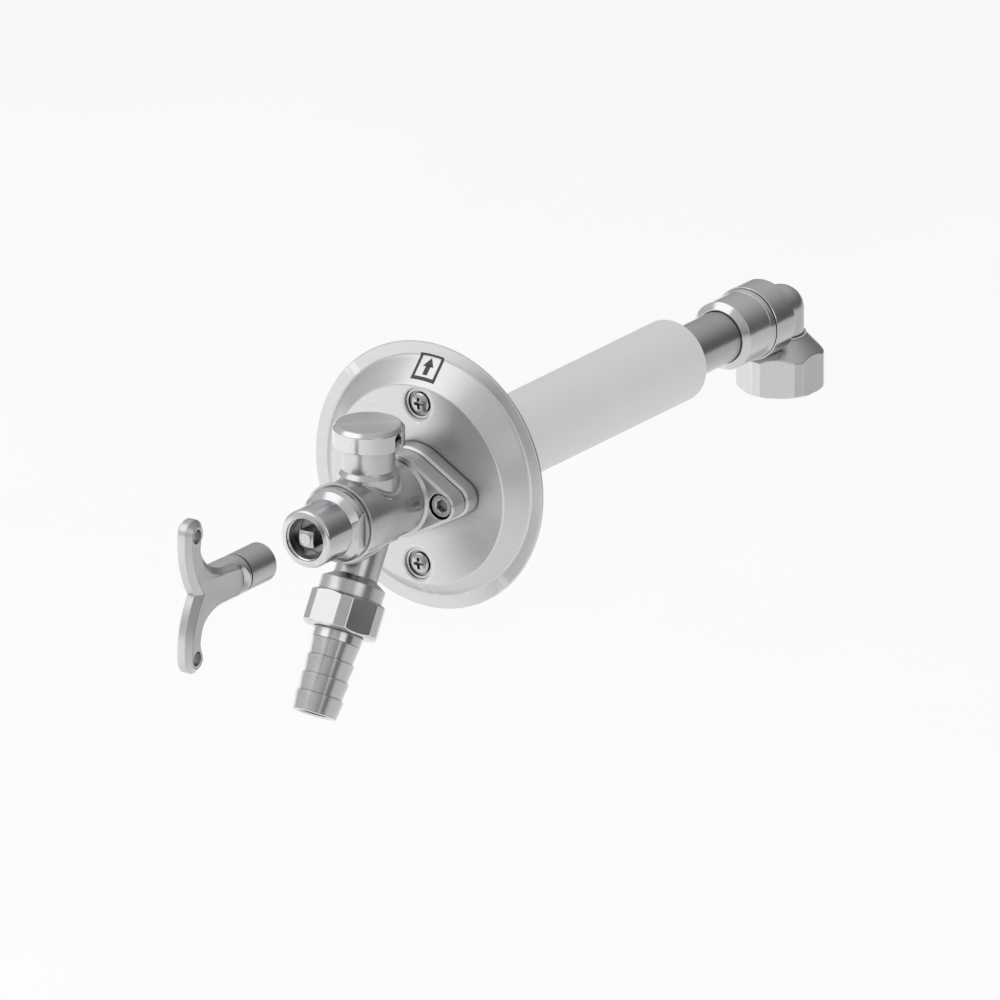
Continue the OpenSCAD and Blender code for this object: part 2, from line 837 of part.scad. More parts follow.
// sealing ring on the float
module float_washer() {
    color("dimgray")
        tap()
            translate([0, turret_y, float_z + disc_t])
                difference() {
                    cylinder(h = float_washer_t, r = disc_out_r);
                    translate([0, 0, -cut])
                        cylinder(h = float_washer_t + 2 * cut, r = stem_r);
                }
}

// prism with six wide flats and six narrow corner flats
module hex_prism(z0, z1, af, corner_af) {
    translate([0, 0, z0])
        intersection() {
            cylinder(h = z1 - z0, r = af / sqrt(3), $fn = 6);
            rotate([0, 0, 30])
                cylinder(h = z1 - z0, r = corner_af / sqrt(3), $fn = 6);
        }
}

// swivel nut that clamps the hose tail to the outlet
module hose_nut() {
    bevel_r = nut_corner_af / 2 + 0.4;
    bevel_h = (bevel_r - nut_bevel_r) * 0.7;
    color("silver")
        along_outlet()
            difference() {
                intersection() {
                    hex_prism(nut_top_l, nut_end_l, nut_af, nut_corner_af);
                    rotate_extrude()
                        polygon([[0, nut_top_l], [nut_bevel_r, nut_top_l],
                            [bevel_r, nut_top_l + bevel_h],
                            [bevel_r, nut_end_l - bevel_h],
                            [nut_bevel_r, nut_end_l], [0, nut_end_l]]);
                }
                rotate_extrude()
                    polygon([[0, nut_top_l - cut], [nut_bore_r, nut_top_l - cut],
                        [nut_bore_r, nut_floor_l], [nut_hole_r, nut_floor_l],
                        [nut_hole_r, nut_end_l + cut], [0, nut_end_l + cut]]);
            }
}

// flat washer between outlet and hose tail
module hose_washer() {
    color("dimgray")
        along_outlet()
            translate([0, 0, outlet_end_l])
                difference() {
                    cylinder(h = hose_washer_t, r = flange_out_r);
                    translate([0, 0, -cut])
                        cylinder(h = hose_washer_t + 2 * cut, r = outlet_bore_r + 0.4);
                }
}

// barb outline points, sharp edges towards the nut
function barbs() = [for (i = [0 : barb_count - 1])
    for (k = [0, 1])
        [k == 0 ? barb_low_r : tail_r, barb_l + i * barb_pitch]];

// barbed hose tail with its clamped flange
module hose_tail() {
    color("silver")
        along_outlet()
            rotate_extrude()
                polygon(concat([[tail_bore_r, tail_flange_l], [flange_out_r, tail_flange_l],
                    [flange_out_r, nut_floor_l - face_gap],
                    [tail_guide_r, nut_floor_l - face_gap],
                    [tail_guide_r, neck_start_l + tail_guide_r - tail_r],
                    [tail_r, neck_start_l], [tail_r, tail_neck_l]], barbs(),
                    [[barb_low_r, tail_end_l - tail_edge],
                     [barb_low_r - tail_edge, tail_end_l], [tail_bore_r, tail_end_l]]));
}

// sliding rod: square block with a screw bore, and the long stem
module valve_rod() {
    color("gainsboro")
        tap()
            difference() {
                union() {
                    intersection() {
                        bar_y(block_y, block_y + block_len, block_af);
                        turned_y([[0, block_y], [6, block_y], [7.5, block_y + 1.5],
                            [7.5, block_y + block_len - 1.5], [6, block_y + block_len],
                            [0, block_y + block_len]]);
                    }
                    rod_y(block_y + block_len - 1, rod_end_y, rod_r);
                }
                rod_y(block_y - cut, block_y + block_bore_len, screw_r + run_gap);
                rod_y(rod_end_y - 5, rod_end_y + cut, 2);
            }
}

// cup on the rod end that carries the washer
module valve_head() {
    color("goldenrod")
        tap()
            turned_y([[2, head_y + 3], [2, washer_face_y - washer_t],
                [washer_r, washer_face_y - washer_t], [washer_r, head_end_y],
                [head_r, head_end_y], [head_r, head_y + 1], [head_r - 1, head_y],
                [rod_r, head_y], [rod_r, head_y + 3]]);
}

// rubber valve washer
module valve_washer() {
    color("dimgray")
        tap()
            difference() {
                rod_y(washer_face_y - washer_t, washer_face_y, washer_r);
                rod_y(washer_face_y - washer_t - cut, washer_face_y + cut, 2);
            }
}

// screw that holds the valve washer
module washer_screw() {
    color("gainsboro")
        tap()
            turned_y([[0, rod_end_y - 4.5], [2, rod_end_y - 4.5], [2, washer_face_y],
                [3.4, washer_face_y], [3.4, washer_face_y + 1], [2.8, washer_face_y + 1.5],
                [0, washer_face_y + 1.5]]);
}

// valve seat ring with a raised lip
module valve_seat() {
    color("goldenrod")
        tap()
            turned_y([[seat_bore_r, seat_y - lip_h], [seat_bore_r + 1, seat_y - lip_h],
                [seat_bore_r + 1.6, seat_y], [elbow_thread_r - 0.1, seat_y],
                [elbow_thread_r - 0.1, seat_y + seat_t], [seat_bore_r, seat_y + seat_t]]);
}

// sleeve through the wall
module wall_sleeve() {
    color("whitesmoke")
        tap()
            turned_y([[sleeve_r - sleeve_t, -disc_rise + plate_t],
                [sleeve_r, -disc_rise + plate_t], [sleeve_r, sleeve_end_y],
                [sleeve_r - sleeve_t, sleeve_end_y]]);
}

// water pipe inside the sleeve
module inner_pipe() {
    color("lightgray")
        tap()
            turned_y([[pipe_r - pipe_t, pipe_stop_y], [pipe_r, pipe_stop_y],
                [pipe_r, pipe_end_y], [pipe_r - pipe_t, pipe_end_y]]);
}

// nut of the compression joint
module compression_nut() {
    open_r = pipe_r + 0.2;
    cone_y = olive_y - (olive_r - 1 - open_r) * olive_slope;
    deep_r = comp_thread_r + join_gap;
    color("lightgray")
        tap()
            turned_y([[open_r, comp_y], [comp_lip_r, comp_y], [comp_r - 0.1, comp_y + 2.1],
                [comp_r, comp_y + 2.2], [comp_r, comp_end_y - 1.9],
                [comp_flare_r, comp_end_y], [deep_r, comp_end_y],
                [deep_r, cone_y + (deep_r - open_r) * olive_slope], [open_r, cone_y]]);
}

// brass compression ring
module olive() {
    color("goldenrod")
        tap()
            turned_y([[pipe_r, olive_y], [olive_r - 1, olive_y],
                [olive_r, olive_y + olive_slope], [olive_r, olive_y + olive_slope + olive_flat],
                [olive_r - 1, olive_y + 2 * olive_slope + olive_flat],
                [pipe_r, olive_y + 2 * olive_slope + olive_flat]]);
}

// coupling between water pipe and elbow, with the valve chamber
module coupling_body() {
    cone_y = olive_y + olive_slope + olive_flat;
    mouth_r = olive_r - (coupling_front_y - cone_y) / olive_slope;
    color("silver")
        tap()
            turned_y([[mouth_r, coupling_front_y], [comp_thread_r, coupling_front_y],
                [comp_thread_r, comp_end_y + 0.2], [coupling_r, comp_end_y + 0.2],
                [coupling_r, coupling_end_y - 0.3], [coupling_r - 0.3, coupling_end_y],
                [elbow_thread_r + join_gap, coupling_end_y],
                [elbow_thread_r + join_gap, seat_y], [water_r, seat_y],
                [water_r, pipe_end_y + 0.2], [bore_r, pipe_end_y + 0.2],
                [bore_r, cone_y + (olive_r - bore_r) * olive_slope]]);
}

// elbow that turns the supply down, with a spigot for the inlet union
module elbow() {
    inner_r = outlet_bore_r;
    color("silver")
        tap()
            difference() {
                union() {
                    rod_y(seat_y + seat_t, coupling_end_y, elbow_thread_r);
                    rod_y(coupling_end_y - cut, branch_y, elbow_r);
                    translate([0, branch_y, 0]) {
                        sphere(r = elbow_r);
                        rotate_extrude()
                            polygon([[0, spigot_z], [branch_spigot_r, spigot_z],
                                [branch_spigot_r, branch_z], [elbow_r, branch_z],
                                [elbow_r, 0], [0, 0]]);
                    }
                }
                rod_y(seat_y + seat_t - cut, branch_y, inner_r);
                translate([0, branch_y, 0]) {
                    sphere(r = inner_r);
                    translate([0, 0, spigot_z - cut])
                        cylinder(h = cut - spigot_z, r = inner_r);
                }
            }
}

// six-sided inlet union: collar, cone and hexagon with a female thread pointing down
module inlet_union() {
    top_r = elbow_r + 0.9;
    edge_r = union_corner_af / 2 + 0.4;
    slope = (cone_r - top_r) / (branch_z - 0.9 - cone_z);
    thread_z = union_z + 13.5;
    color("silver")
        tap()
            difference() {
                translate([0, branch_y, 0])
                    difference() {
                        intersection() {
                            rotate([0, 0, 90])
                                hex_prism(union_z, branch_z, union_af, union_corner_af);
                            rotate_extrude()
                                polygon([[0, union_z], [union_af / 2 - 0.3, union_z],
                                    [edge_r, union_z + 1.6],
                                    [edge_r, cone_z - (edge_r - cone_r) / slope],
                                    [top_r, branch_z - 0.9], [top_r, branch_z],
                                    [0, branch_z]]);
                        }
                        rotate_extrude()
                            polygon([[0, union_z - cut], [inlet_r, union_z - cut],
                                [inlet_r, thread_z], [water_r, thread_z],
                                [water_r, spigot_z],
                                [branch_spigot_r + join_gap, spigot_z],
                                [branch_spigot_r + join_gap, branch_z + cut],
                                [0, branch_z + cut]]);
                    }
                rod_y(comp_end_y, coupling_end_y + 0.3, coupling_r + 0.3);
            }
}

// rear half of the key's edge: tip, straight rear edge, waist and flare to the boss
function wing_rear(front, rear) = concat(
    [for (i = [0 : 10])
        let (a = 18 * i, r = wing_tip_r - front + (front - rear) * i / 10)
        [wing_mid_y - r * cos(a), wing_mid_z + r * sin(a)]],
    [[wing_rear_y - rear, bulge_z]],
    [for (i = [0 : 8])
        let (a = 90 * i / 8)
        [flare_end_y - (flare_end_y - wing_rear_y + waist_deep + rear) * cos(a),
         flare_z - (flare_z - key_boss_r + rear) * sin(a)]],
    [[root_y, key_boss_r - rear]]);

// front half of the key's edge from the notch to the wing
function wing_front(inset, extra) = [for (i = [0 : 8])
    let (z = notch_z * i / 8, k = (1 - i / 8))
    [key_front_y + inset + (notch_deep + extra) * k * k, z]];

// one closed outline of the wings, drawn in at the front and at the rear
function wing_outline(front, rear, extra) =
    let (half = concat(wing_front(front, extra), wing_rear(front, rear)),
         n = len(half))
    concat(half, [for (i = [n - 1 : -1 : 1]) [half[i][0], -half[i][1]]]);

// solid lofted over equal outlines at the given X stations
module loft_x(xs, outlines) {
    n = len(outlines[0]);
    last = len(xs) - 1;
    points = [for (s = [0 : last]) for (p = outlines[s]) [xs[s], p[0], p[1]]];
    sides = [for (s = [0 : last - 1]) for (i = [0 : n - 1])
        let (j = (i + 1) % n)
        [s * n + i, s * n + j, (s + 1) * n + j, (s + 1) * n + i]];
    near = [[for (i = [n - 1 : -1 : 0]) i]];
    far = [[for (i = [0 : n - 1]) last * n + i]];
    polyhedron(points = points, faces = concat(sides, near, far), convexity = 6);
}

// winged key with its round shank
module key_handle() {
    face = wing_outline(wing_bevel, wing_rear_bevel, notch_extra);
    edge = wing_outline(0, 0, 0);
    color("silver")
        tap()
            difference() {
                union() {
                    loft_x([-wing_t, -wing_flat, wing_flat, wing_t],
                        [face, edge, edge, face]);
                    intersection() {
                        rod_y(boss_front_y, key_boss_y, key_boss_r);
                        hull()
                            for (side = [-1, 1]) {
                                translate([side * wing_t - sheet / 2, wedge_y, -flare_z])
                                    cube([sheet, sheet, 2 * flare_z]);
                                translate([side * tongue_t - sheet / 2, tongue_y, -flare_z])
                                    cube([sheet, sheet, 2 * flare_z]);
                            }
                    }
                    turned_y([[0, tongue_y], [key_boss_r, tongue_y], [key_boss_r, key_boss_y],
                        [key_shank_r, key_boss_y], [key_shank_r, groove_y1],
                        [key_shank_r - groove_sink, groove_y1 + groove_half],
                        [key_shank_r, groove_y1 + 2 * groove_half],
                        [key_shank_r, key_end_y - key_edge],
                        [key_shank_r - key_edge, key_end_y], [0, key_end_y]]);
                }
                for (side = [-1, 1])
                    translate([-2 * wing_t, wing_mid_y, side * hole_z])
                        rotate([0, 90, 0])
                            cylinder(h = 4 * wing_t, r = wing_hole_r);
                rod_y(key_end_y - insert_len, key_end_y + cut, insert_r);
            }
}

// square socket insert in the key shank
module key_insert() {
    color("gainsboro")
        tap()
            difference() {
                rod_y(key_end_y - insert_len, key_end_y - insert_sunk, insert_r);
                bar_y(key_end_y - insert_len + socket_wall, key_end_y + cut,
                    square_af + square_play);
            }
}

wall_plate();
plate_screws();
pipe_flange();
flange_gasket();
tap_body();
flange_screws();
bonnet();
bonnet_seal();
spindle();
spindle_seals();
spindle_clip();
rod_guide();
breaker_cap();
breaker_seat();
breaker_seal();
breaker_float();
float_washer();
hose_nut();
hose_washer();
hose_tail();
valve_rod();
valve_head();
valve_washer();
washer_screw();
valve_seat();
wall_sleeve();
inner_pipe();
compression_nut();
olive();
coupling_body();
elbow();
inlet_union();
key_handle();
key_insert();
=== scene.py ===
"""Frost-proof garden tap with its loose key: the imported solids, dressed.

All lengths in the functions are millimetres in the tap's own frame; place() turns them into
metres in the wall's frame. Every new surface is a grid of two parameters worked out with numpy.
"""

import json
import math

import bpy
import bmesh
import numpy as np
from mathutils import Matrix, Vector
from mathutils.geometry import tessellate_polygon


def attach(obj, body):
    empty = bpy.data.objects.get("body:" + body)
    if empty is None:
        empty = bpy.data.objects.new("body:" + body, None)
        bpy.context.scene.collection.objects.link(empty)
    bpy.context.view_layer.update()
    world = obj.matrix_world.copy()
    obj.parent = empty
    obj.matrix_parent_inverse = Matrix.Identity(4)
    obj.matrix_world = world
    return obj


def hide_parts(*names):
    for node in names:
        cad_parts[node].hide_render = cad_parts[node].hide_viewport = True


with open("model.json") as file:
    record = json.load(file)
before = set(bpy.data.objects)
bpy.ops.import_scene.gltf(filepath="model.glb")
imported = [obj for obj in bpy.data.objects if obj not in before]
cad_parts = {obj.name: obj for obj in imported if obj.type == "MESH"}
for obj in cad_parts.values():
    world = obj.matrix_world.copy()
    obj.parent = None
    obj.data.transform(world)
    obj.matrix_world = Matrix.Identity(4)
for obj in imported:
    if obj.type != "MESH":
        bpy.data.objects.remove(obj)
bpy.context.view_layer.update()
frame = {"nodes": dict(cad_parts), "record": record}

# The tap leans down to the front by TILT and stands FORWARD of the wall's frame
TILT = math.radians(2.0)
FORWARD = 0.43
# Places along the tap, and how far the screws are from its axis
OUTLET_Y = -37.2
OUTLET_ANGLE = math.radians(30.0)
TURRET_Y = -43.3
BRANCH_Y = 249.1
SCREW_Z = 34.7
REACH = 22.6
# Wall plate: the rim's centre above the tap's axis, its inner ring, and the disc's edge and face
RIM_RISE = 1.9
RING_R = 50.7
DISC_R = 42.7
DISC_Y = -8.3
# Pitches of the pipe threads and the wall screws, and the middle of the mark on the dished part
PIPE_PITCH = 1.814
SCREW_PITCH = 2.1
MARK_R = 47.9
MARK_TURN = 0.012


# Frames
def wall_from_tap(p):
    """Shift to the front by FORWARD, then turn by TILT about X."""
    c, s = math.cos(TILT), math.sin(TILT)
    y = p[..., 1] - FORWARD
    return np.stack([p[..., 0], y * c - p[..., 2] * s, y * s + p[..., 2] * c], -1)


def on_tap_axis(u, v, s):
    """Axis along the tap: u is X, v is Z, s runs towards the wall."""
    return wall_from_tap(np.stack([u, s, v], -1))


def on_turret(u, v, s):
    """Upright axis through the turret, s is the height."""
    return wall_from_tap(np.stack([u, TURRET_Y + v, s], -1))


def on_branch(u, v, s):
    """Upright axis through the rear elbow, s is the height."""
    return wall_from_tap(np.stack([u, BRANCH_Y + v, s], -1))


def on_outlet(u, v, s):
    """Axis of the angled outlet: s runs out of it, v points up and to the front."""
    a, b = math.sin(OUTLET_ANGLE), math.cos(OUTLET_ANGLE)
    return wall_from_tap(np.stack([u, OUTLET_Y - b * v - a * s, a * v - b * s], -1))


def on_wall(u, v, s):
    """Axis square to the wall through the origin, s runs into the wall."""
    return np.stack([u, s, v], -1)


# Grids
LEAD = 0.08


def soften(profile, closed, arcs=4):
    """Rows [radius, station, rounding, blend]; each corner becomes a parabola tangent to both sides.

    One more row a short LEAD beyond each end of the parabola keeps the side next to it flat in the light.
    """
    rows = [np.array(list(p) + [0.0] * (4 - len(p))) for p in profile]
    n, out = len(rows), []
    for i, p in enumerate(rows):
        if p[2] == 0 or (not closed and i in (0, n - 1)):
            out.append(p)
            continue
        a, b = rows[i - 1] - p, rows[(i + 1) % n] - p
        la, lb = np.hypot(*a[:2]), np.hypot(*b[:2])
        cosine = np.clip(np.dot(a[:2], b[:2]) / (la * lb), -0.999, 0.999)
        reach = min(p[2] / math.tan(math.acos(cosine) / 2), 0.46 * la, 0.46 * lb)
        first, last = p + a * reach / la, p + b * reach / lb
        out.append(first + a * min(LEAD, 0.04 * la) / la)
        for k in np.linspace(0, 1, arcs + 1):
            out.append((1 - k) ** 2 * first + 2 * k * (1 - k) * p + k * k * last)
        out.append(last + b * min(LEAD, 0.04 * lb) / lb)
    return np.array(out)


def quads(rows, columns, close_rows=False, close_columns=True):
    """Faces of a grid of points stored row by row, wrapped where it closes."""
    i = np.arange(rows if close_rows else rows - 1)[:, None]
    j = np.arange(columns if close_columns else columns - 1)[None, :]
    i2, j2 = (i + 1) % rows, (j + 1) % columns
    corners = [i * columns + j, i * columns + j2, i2 * columns + j2, i2 * columns + j]
    return np.stack(corners, -1).reshape(-1, 4)


def outward(points, faces):
    """Turns a closed shell's faces round when the volume they enclose comes out negative."""
    a, b, c, d = (points[faces[:, k]] for k in range(4))
    volume = sum(np.einsum("ij,ij->i", a, np.cross(*pair)).sum() for pair in ((b, c), (c, d)))
    return faces[:, ::-1] if volume < 0 else faces


def turned(profile, place, sides=144, shape=None, arcs=4):
    """A profile carried round an axis: radius(row) at angle t, changed by shape(radius, blend, t, station).

    A profile that starts off the axis closes on itself, and one that starts on it is capped there.
    """
    closed = profile[0][0] > 0
    rows = soften(profile, closed, arcs)
    t = np.arange(sides) * 2 * np.pi / sides
    r = np.repeat(rows[:, :1], sides, 1)
    s = np.repeat(rows[:, 1:2], sides, 1)
    if shape is not None:
        r = shape(r, np.repeat(rows[:, 3:4], sides, 1), t[None, :], s)
    points = place(r * np.cos(t), r * np.sin(t), s).reshape(-1, 3)
    return points, outward(points, quads(len(rows), sides, close_rows=closed))


def polygon_radius(t, flats, across, turn=0.0):
    """Distance from the centre to a regular polygon's side in the direction t."""
    step = 2 * np.pi / flats
    return across / 2 / np.cos((t - turn + step / 2) % step - step / 2)


def thread(t, s, pitch):
    """A helical wave over angle and station: 0 on the crests, 1 midway between them."""
    return np.abs((s / pitch - t / (2 * np.pi)) % 1 - 0.5) * 2


def soft_min(a, b, width):
    """The smaller of two fields, rounded where they meet over the given width."""
    h = np.clip(0.5 + 0.5 * (b - a) / width, 0, 1)
    return b * (1 - h) + a * h - width * h * (1 - h)


# Objects
def piece(name, shells, body, material, *nodes, smooth=32):
    """Joins closed shells into one mesh in metres and puts it on its body in place of the CAD nodes."""
    points, faces, start = [], [], 0
    for p, f in shells:
        points.append(p)
        faces.append(np.asarray(f) + start)
        start += len(p)
    mesh = bpy.data.meshes.new(name)
    mesh.from_pydata((np.concatenate(points) / 1000).tolist(), [], np.concatenate(faces).tolist())
    bm = bmesh.new()
    bm.from_mesh(mesh)
    bmesh.ops.remove_doubles(bm, verts=bm.verts, dist=2e-7)
    bmesh.ops.dissolve_degenerate(bm, edges=bm.edges, dist=1e-8)
    bm.to_mesh(mesh)
    bm.free()
    return put_in(name, mesh, body, material, nodes, smooth)


def solid(name, shell_points, faces, body, material, *nodes, smooth=32):
    """A closed piece from mixed faces, with its normals recalculated outwards."""
    mesh = bpy.data.meshes.new(name)
    mesh.from_pydata((shell_points / 1000).tolist(), [], faces)
    bm = bmesh.new()
    bm.from_mesh(mesh)
    bmesh.ops.remove_doubles(bm, verts=bm.verts, dist=2e-7)
    bmesh.ops.recalc_face_normals(bm, faces=bm.faces)
    bm.to_mesh(mesh)
    bm.free()
    return put_in(name, mesh, body, material, nodes, smooth)


def put_in(name, mesh, body, material, nodes, smooth):
    """Puts a mesh in the scene, on its body and in place of its CAD nodes; a cutting tool has neither."""
    obj = bpy.data.objects.new(name, mesh)
    bpy.context.scene.collection.objects.link(obj)
    finish_mesh(obj, material, smooth)
    if body:
        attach(obj, body)
    if nodes:
        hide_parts(*nodes)
    return obj


def finish_mesh(obj, material, smooth):
    """Smooth shading with edges kept sharp above an angle, and one material."""
    mesh = obj.data
    mesh.polygons.foreach_set("use_smooth", [True] * len(mesh.polygons))
    mesh.set_sharp_from_angle(angle=math.radians(smooth))
    mesh.materials.clear()
    if material:
        mesh.materials.append(material)


def cut_out(obj, cutters, material, smooth=32):
    """Cuts each solid out of the piece and keeps the resulting mesh."""
    for cutter in cutters:
        mod = obj.modifiers.new("cut", "BOOLEAN")
        mod.operation, mod.solver, mod.object = "DIFFERENCE", "EXACT", cutter
    deps = bpy.context.evaluated_depsgraph_get()
    mesh = bpy.data.meshes.new_from_object(obj.evaluated_get(deps))
    obj.modifiers.clear()
    obj.data = mesh
    for cutter in cutters:
        bpy.data.objects.remove(cutter)
    finish_mesh(obj, material, smooth)
    return obj


def tool(shells):
    """A solid used only to cut another one."""
    return piece("tool", shells, None, None)


# Materials
def nodes_of(name):
    """A new node material, its tree, its shader and its Object coordinates."""
    mat = bpy.data.materials.new(name)
    mat.use_nodes = True
    tree = mat.node_tree
    shader = tree.nodes["Principled BSDF"]
    coords = tree.nodes.new("ShaderNodeTexCoord").outputs["Object"]
    return mat, tree, shader, coords


def noise(tree, coords, scale, stretch=(1, 1, 1), detail=4.0):
    """Noise over Object coordinates, stretched by a scale for each axis."""
    mapping = tree.nodes.new("ShaderNodeMapping")
    mapping.inputs["Scale"].default_value = stretch
    tree.links.new(coords, mapping.inputs["Vector"])
    tex = tree.nodes.new("ShaderNodeTexNoise")
    tex.inputs["Scale"].default_value = scale
    tex.inputs["Detail"].default_value = detail
    tex.inputs["Roughness"].default_value = 0.55
    tree.links.new(mapping.outputs["Vector"], tex.inputs["Vector"])
    return tex.outputs["Fac"]


def ramp(tree, value, stops):
    """A colour ramp through (position, grey or colour) stops."""
    node = tree.nodes.new("ShaderNodeValToRGB")
    band = node.color_ramp
    while len(band.elements) < len(stops):
        band.elements.new(0.5)
    for element, (at, colour) in zip(band.elements, stops):
        element.position = at
        element.color = (colour, colour, colour, 1) if isinstance(colour, float) else (*colour, 1)
    tree.links.new(value, node.inputs["Fac"])
    return node.outputs["Color"]


def mix(tree, blend, factor, a, b):
    """Mix of two colours; factor and b may be numbers, tuples or sockets."""
    node = tree.nodes.new("ShaderNodeMix")
    node.data_type, node.blend_type = "RGBA", blend
    for socket, value in ((node.inputs[0], factor), (node.inputs[6], a), (node.inputs[7], b)):
        if hasattr(value, "is_linked"):
            tree.links.new(value, socket)
        else:
            socket.default_value = value if isinstance(value, float) else (*value, 1)
    return node.outputs[2]


def combined(tree, operation, a, b):
    """One math step of two levels; b may be a number."""
    node = tree.nodes.new("ShaderNodeMath")
    node.operation = operation
    tree.links.new(a, node.inputs[0])
    if isinstance(b, float):
        node.inputs[1].default_value = b
    else:
        tree.links.new(b, node.inputs[1])
    return node.outputs[0]


def gradient(tree, coords, direction, ends, levels, smooth=False):
    """A level that changes along a direction: levels[0] up to ends[0], levels[1] from ends[1] on."""
    along = tree.nodes.new("ShaderNodeVectorMath")
    along.operation = "DOT_PRODUCT"
    along.inputs[1].default_value = direction
    tree.links.new(coords, along.inputs[0])
    node = tree.nodes.new("ShaderNodeMapRange")
    node.interpolation_type = "SMOOTHSTEP" if smooth else "LINEAR"
    for name, value in zip(("From Min", "From Max", "To Min", "To Max"), (*ends, *levels)):
        node.inputs[name].default_value = value
    tree.links.new(along.outputs["Value"], node.inputs["Value"])
    return node.outputs["Result"]


def bump(tree, shader, layers):
    """Chained bumps (height, depth in metres, strength) into the shader's normal."""
    previous = None
    for height, depth, strength in layers:
        node = tree.nodes.new("ShaderNodeBump")
        node.inputs["Distance"].default_value = depth
        node.inputs["Strength"].default_value = strength
        tree.links.new(height, node.inputs["Height"])
        if previous is not None:
            tree.links.new(previous, node.inputs["Normal"])
        previous = node.outputs["Normal"]
    tree.links.new(previous, shader.inputs["Normal"])


def pointiness_shade_and_wear(tree, low, high):
    """Pointiness of the surface as a mask, dark in hollows and bright on edges: it paints shade into
    hollows, and paler edges that are partly wear and partly a painted highlight.
    """
    geo = tree.nodes.new("ShaderNodeNewGeometry")
    return ramp(tree, geo.outputs["Pointiness"], [(low, 0.0), (high, 1.0)])


def painted_gap_shade(tree, reach, low):
    """How open the surface is within a reach in metres: low deep in a gap or corner, 1 on a free face;
    multiplied into a base colour, it is painted shade in gaps and corners.
    """
    node = tree.nodes.new("ShaderNodeAmbientOcclusion")
    node.samples = 12
    node.inputs["Distance"].default_value = reach
    return ramp(tree, node.outputs["AO"], [(0.12, low), (0.86, 1.0)])


def metal(name, colour, rough, grain=(1, 1, 1), grain_scale=900.0, grain_depth=2e-6, cast=0.0, edge=0.58):
    """Metal with a directional grain, cloudy roughness, painted shade in hollows and gaps, and paler edges
    that are partly wear and partly a painted highlight.

    cast is the depth in metres of a casting's skin, and edge the pointiness above which edges are painted
    paler, as wear and as a highlight.
    """
    mat, tree, shader, coords = nodes_of(name)
    cloud = noise(tree, coords, 38.0, detail=5.0)
    fine = noise(tree, coords, grain_scale, grain, detail=3.0)
    dull, clear = tuple(c * 0.955 for c in colour), tuple(min(1, c * 1.03) for c in colour)
    tone = ramp(tree, cloud, [(0.3, dull), (0.7, clear)])
    tone = mix(tree, "MULTIPLY", 0.5, tone, ramp(tree, fine, [(0.35, 0.9), (0.65, 1.0)]))
    # Painted shade: the colour darkens in hollows, by pointiness.
    tone = mix(tree, "MULTIPLY", 0.55, tone, ramp(tree, pointiness_shade_and_wear(tree, 0.40, 0.497), [(0.0, 0.45), (1.0, 1.0)]))
    # Paler edges by pointiness: partly wear, partly a painted highlight.
    tone = mix(tree, "SCREEN", 0.5, tone, ramp(tree, pointiness_shade_and_wear(tree, 0.503, edge), [(0.0, 0.0), (1.0, 0.5)]))
    # Painted shade in gaps and corners, from ambient occlusion within 1.4 mm and within 10 mm.
    tone = mix(tree, "MULTIPLY", 1.0, tone, painted_gap_shade(tree, 0.0014, 0.12))
    tone = mix(tree, "MULTIPLY", 1.0, tone, painted_gap_shade(tree, 0.010, 0.62))
    tree.links.new(tone, shader.inputs["Base Color"])
    shader.inputs["Metallic"].default_value = 1.0
    patchy = ramp(tree, cloud, [(0.25, rough - 0.04), (0.75, rough + 0.08)])
    tree.links.new(patchy, shader.inputs["Roughness"])
    layers = [(fine, grain_depth, 0.6)]
    if cast:
        layers.append((noise(tree, coords, 420.0, detail=6.0), cast, 0.5))
    bump(tree, shader, layers)
    return mat


def plastic(name, colour, rough):
    """Moulded plastic: even colour with a faint cloud, painted shade in hollows and gaps, and a fine
    spark-eroded skin.
    """
    mat, tree, shader, coords = nodes_of(name)
    cloud = noise(tree, coords, 25.0)
    skin = noise(tree, coords, 1600.0, detail=2.0)
    tone = ramp(tree, cloud, [(0.3, tuple(c * 0.965 for c in colour)), (0.7, colour)])
    # Painted shade: darker in hollows by pointiness and in gaps by ambient occlusion.
    tone = mix(tree, "MULTIPLY", 0.5, tone, ramp(tree, pointiness_shade_and_wear(tree, 0.42, 0.495), [(0.0, 0.72), (1.0, 1.0)]))
    tone = mix(tree, "MULTIPLY", 1.0, tone, painted_gap_shade(tree, 0.0016, 0.25))
    tree.links.new(tone, shader.inputs["Base Color"])
    tree.links.new(ramp(tree, cloud, [(0.2, rough - 0.04), (0.8, rough + 0.06)]), shader.inputs["Roughness"])
    bump(tree, shader, [(skin, 3e-6, 0.6)])
    return mat


def rubber(name, colour):
    """Black sealing rubber with a dusty grey bloom."""
    mat, tree, shader, coords = nodes_of(name)
    bloom = noise(tree, coords, 160.0, detail=6.0)
    tone = ramp(tree, bloom, [(0.35, colour), (0.8, tuple(c * 2.2 for c in colour))])
    tree.links.new(tone, shader.inputs["Base Color"])
    tree.links.new(ramp(tree, bloom, [(0.2, 0.55), (0.8, 0.8)]), shader.inputs["Roughness"])
    bump(tree, shader, [(noise(tree, coords, 1500.0), 4e-6, 0.5)])
    return mat


CAST = metal("satin_cast_chrome", (0.56, 0.565, 0.575), 0.25, cast=3e-6)
TURNED = metal("turned_chrome", (0.60, 0.605, 0.615), 0.18,
               grain=(0.12, 1, 0.12), grain_scale=2600.0, grain_depth=1.2e-6)
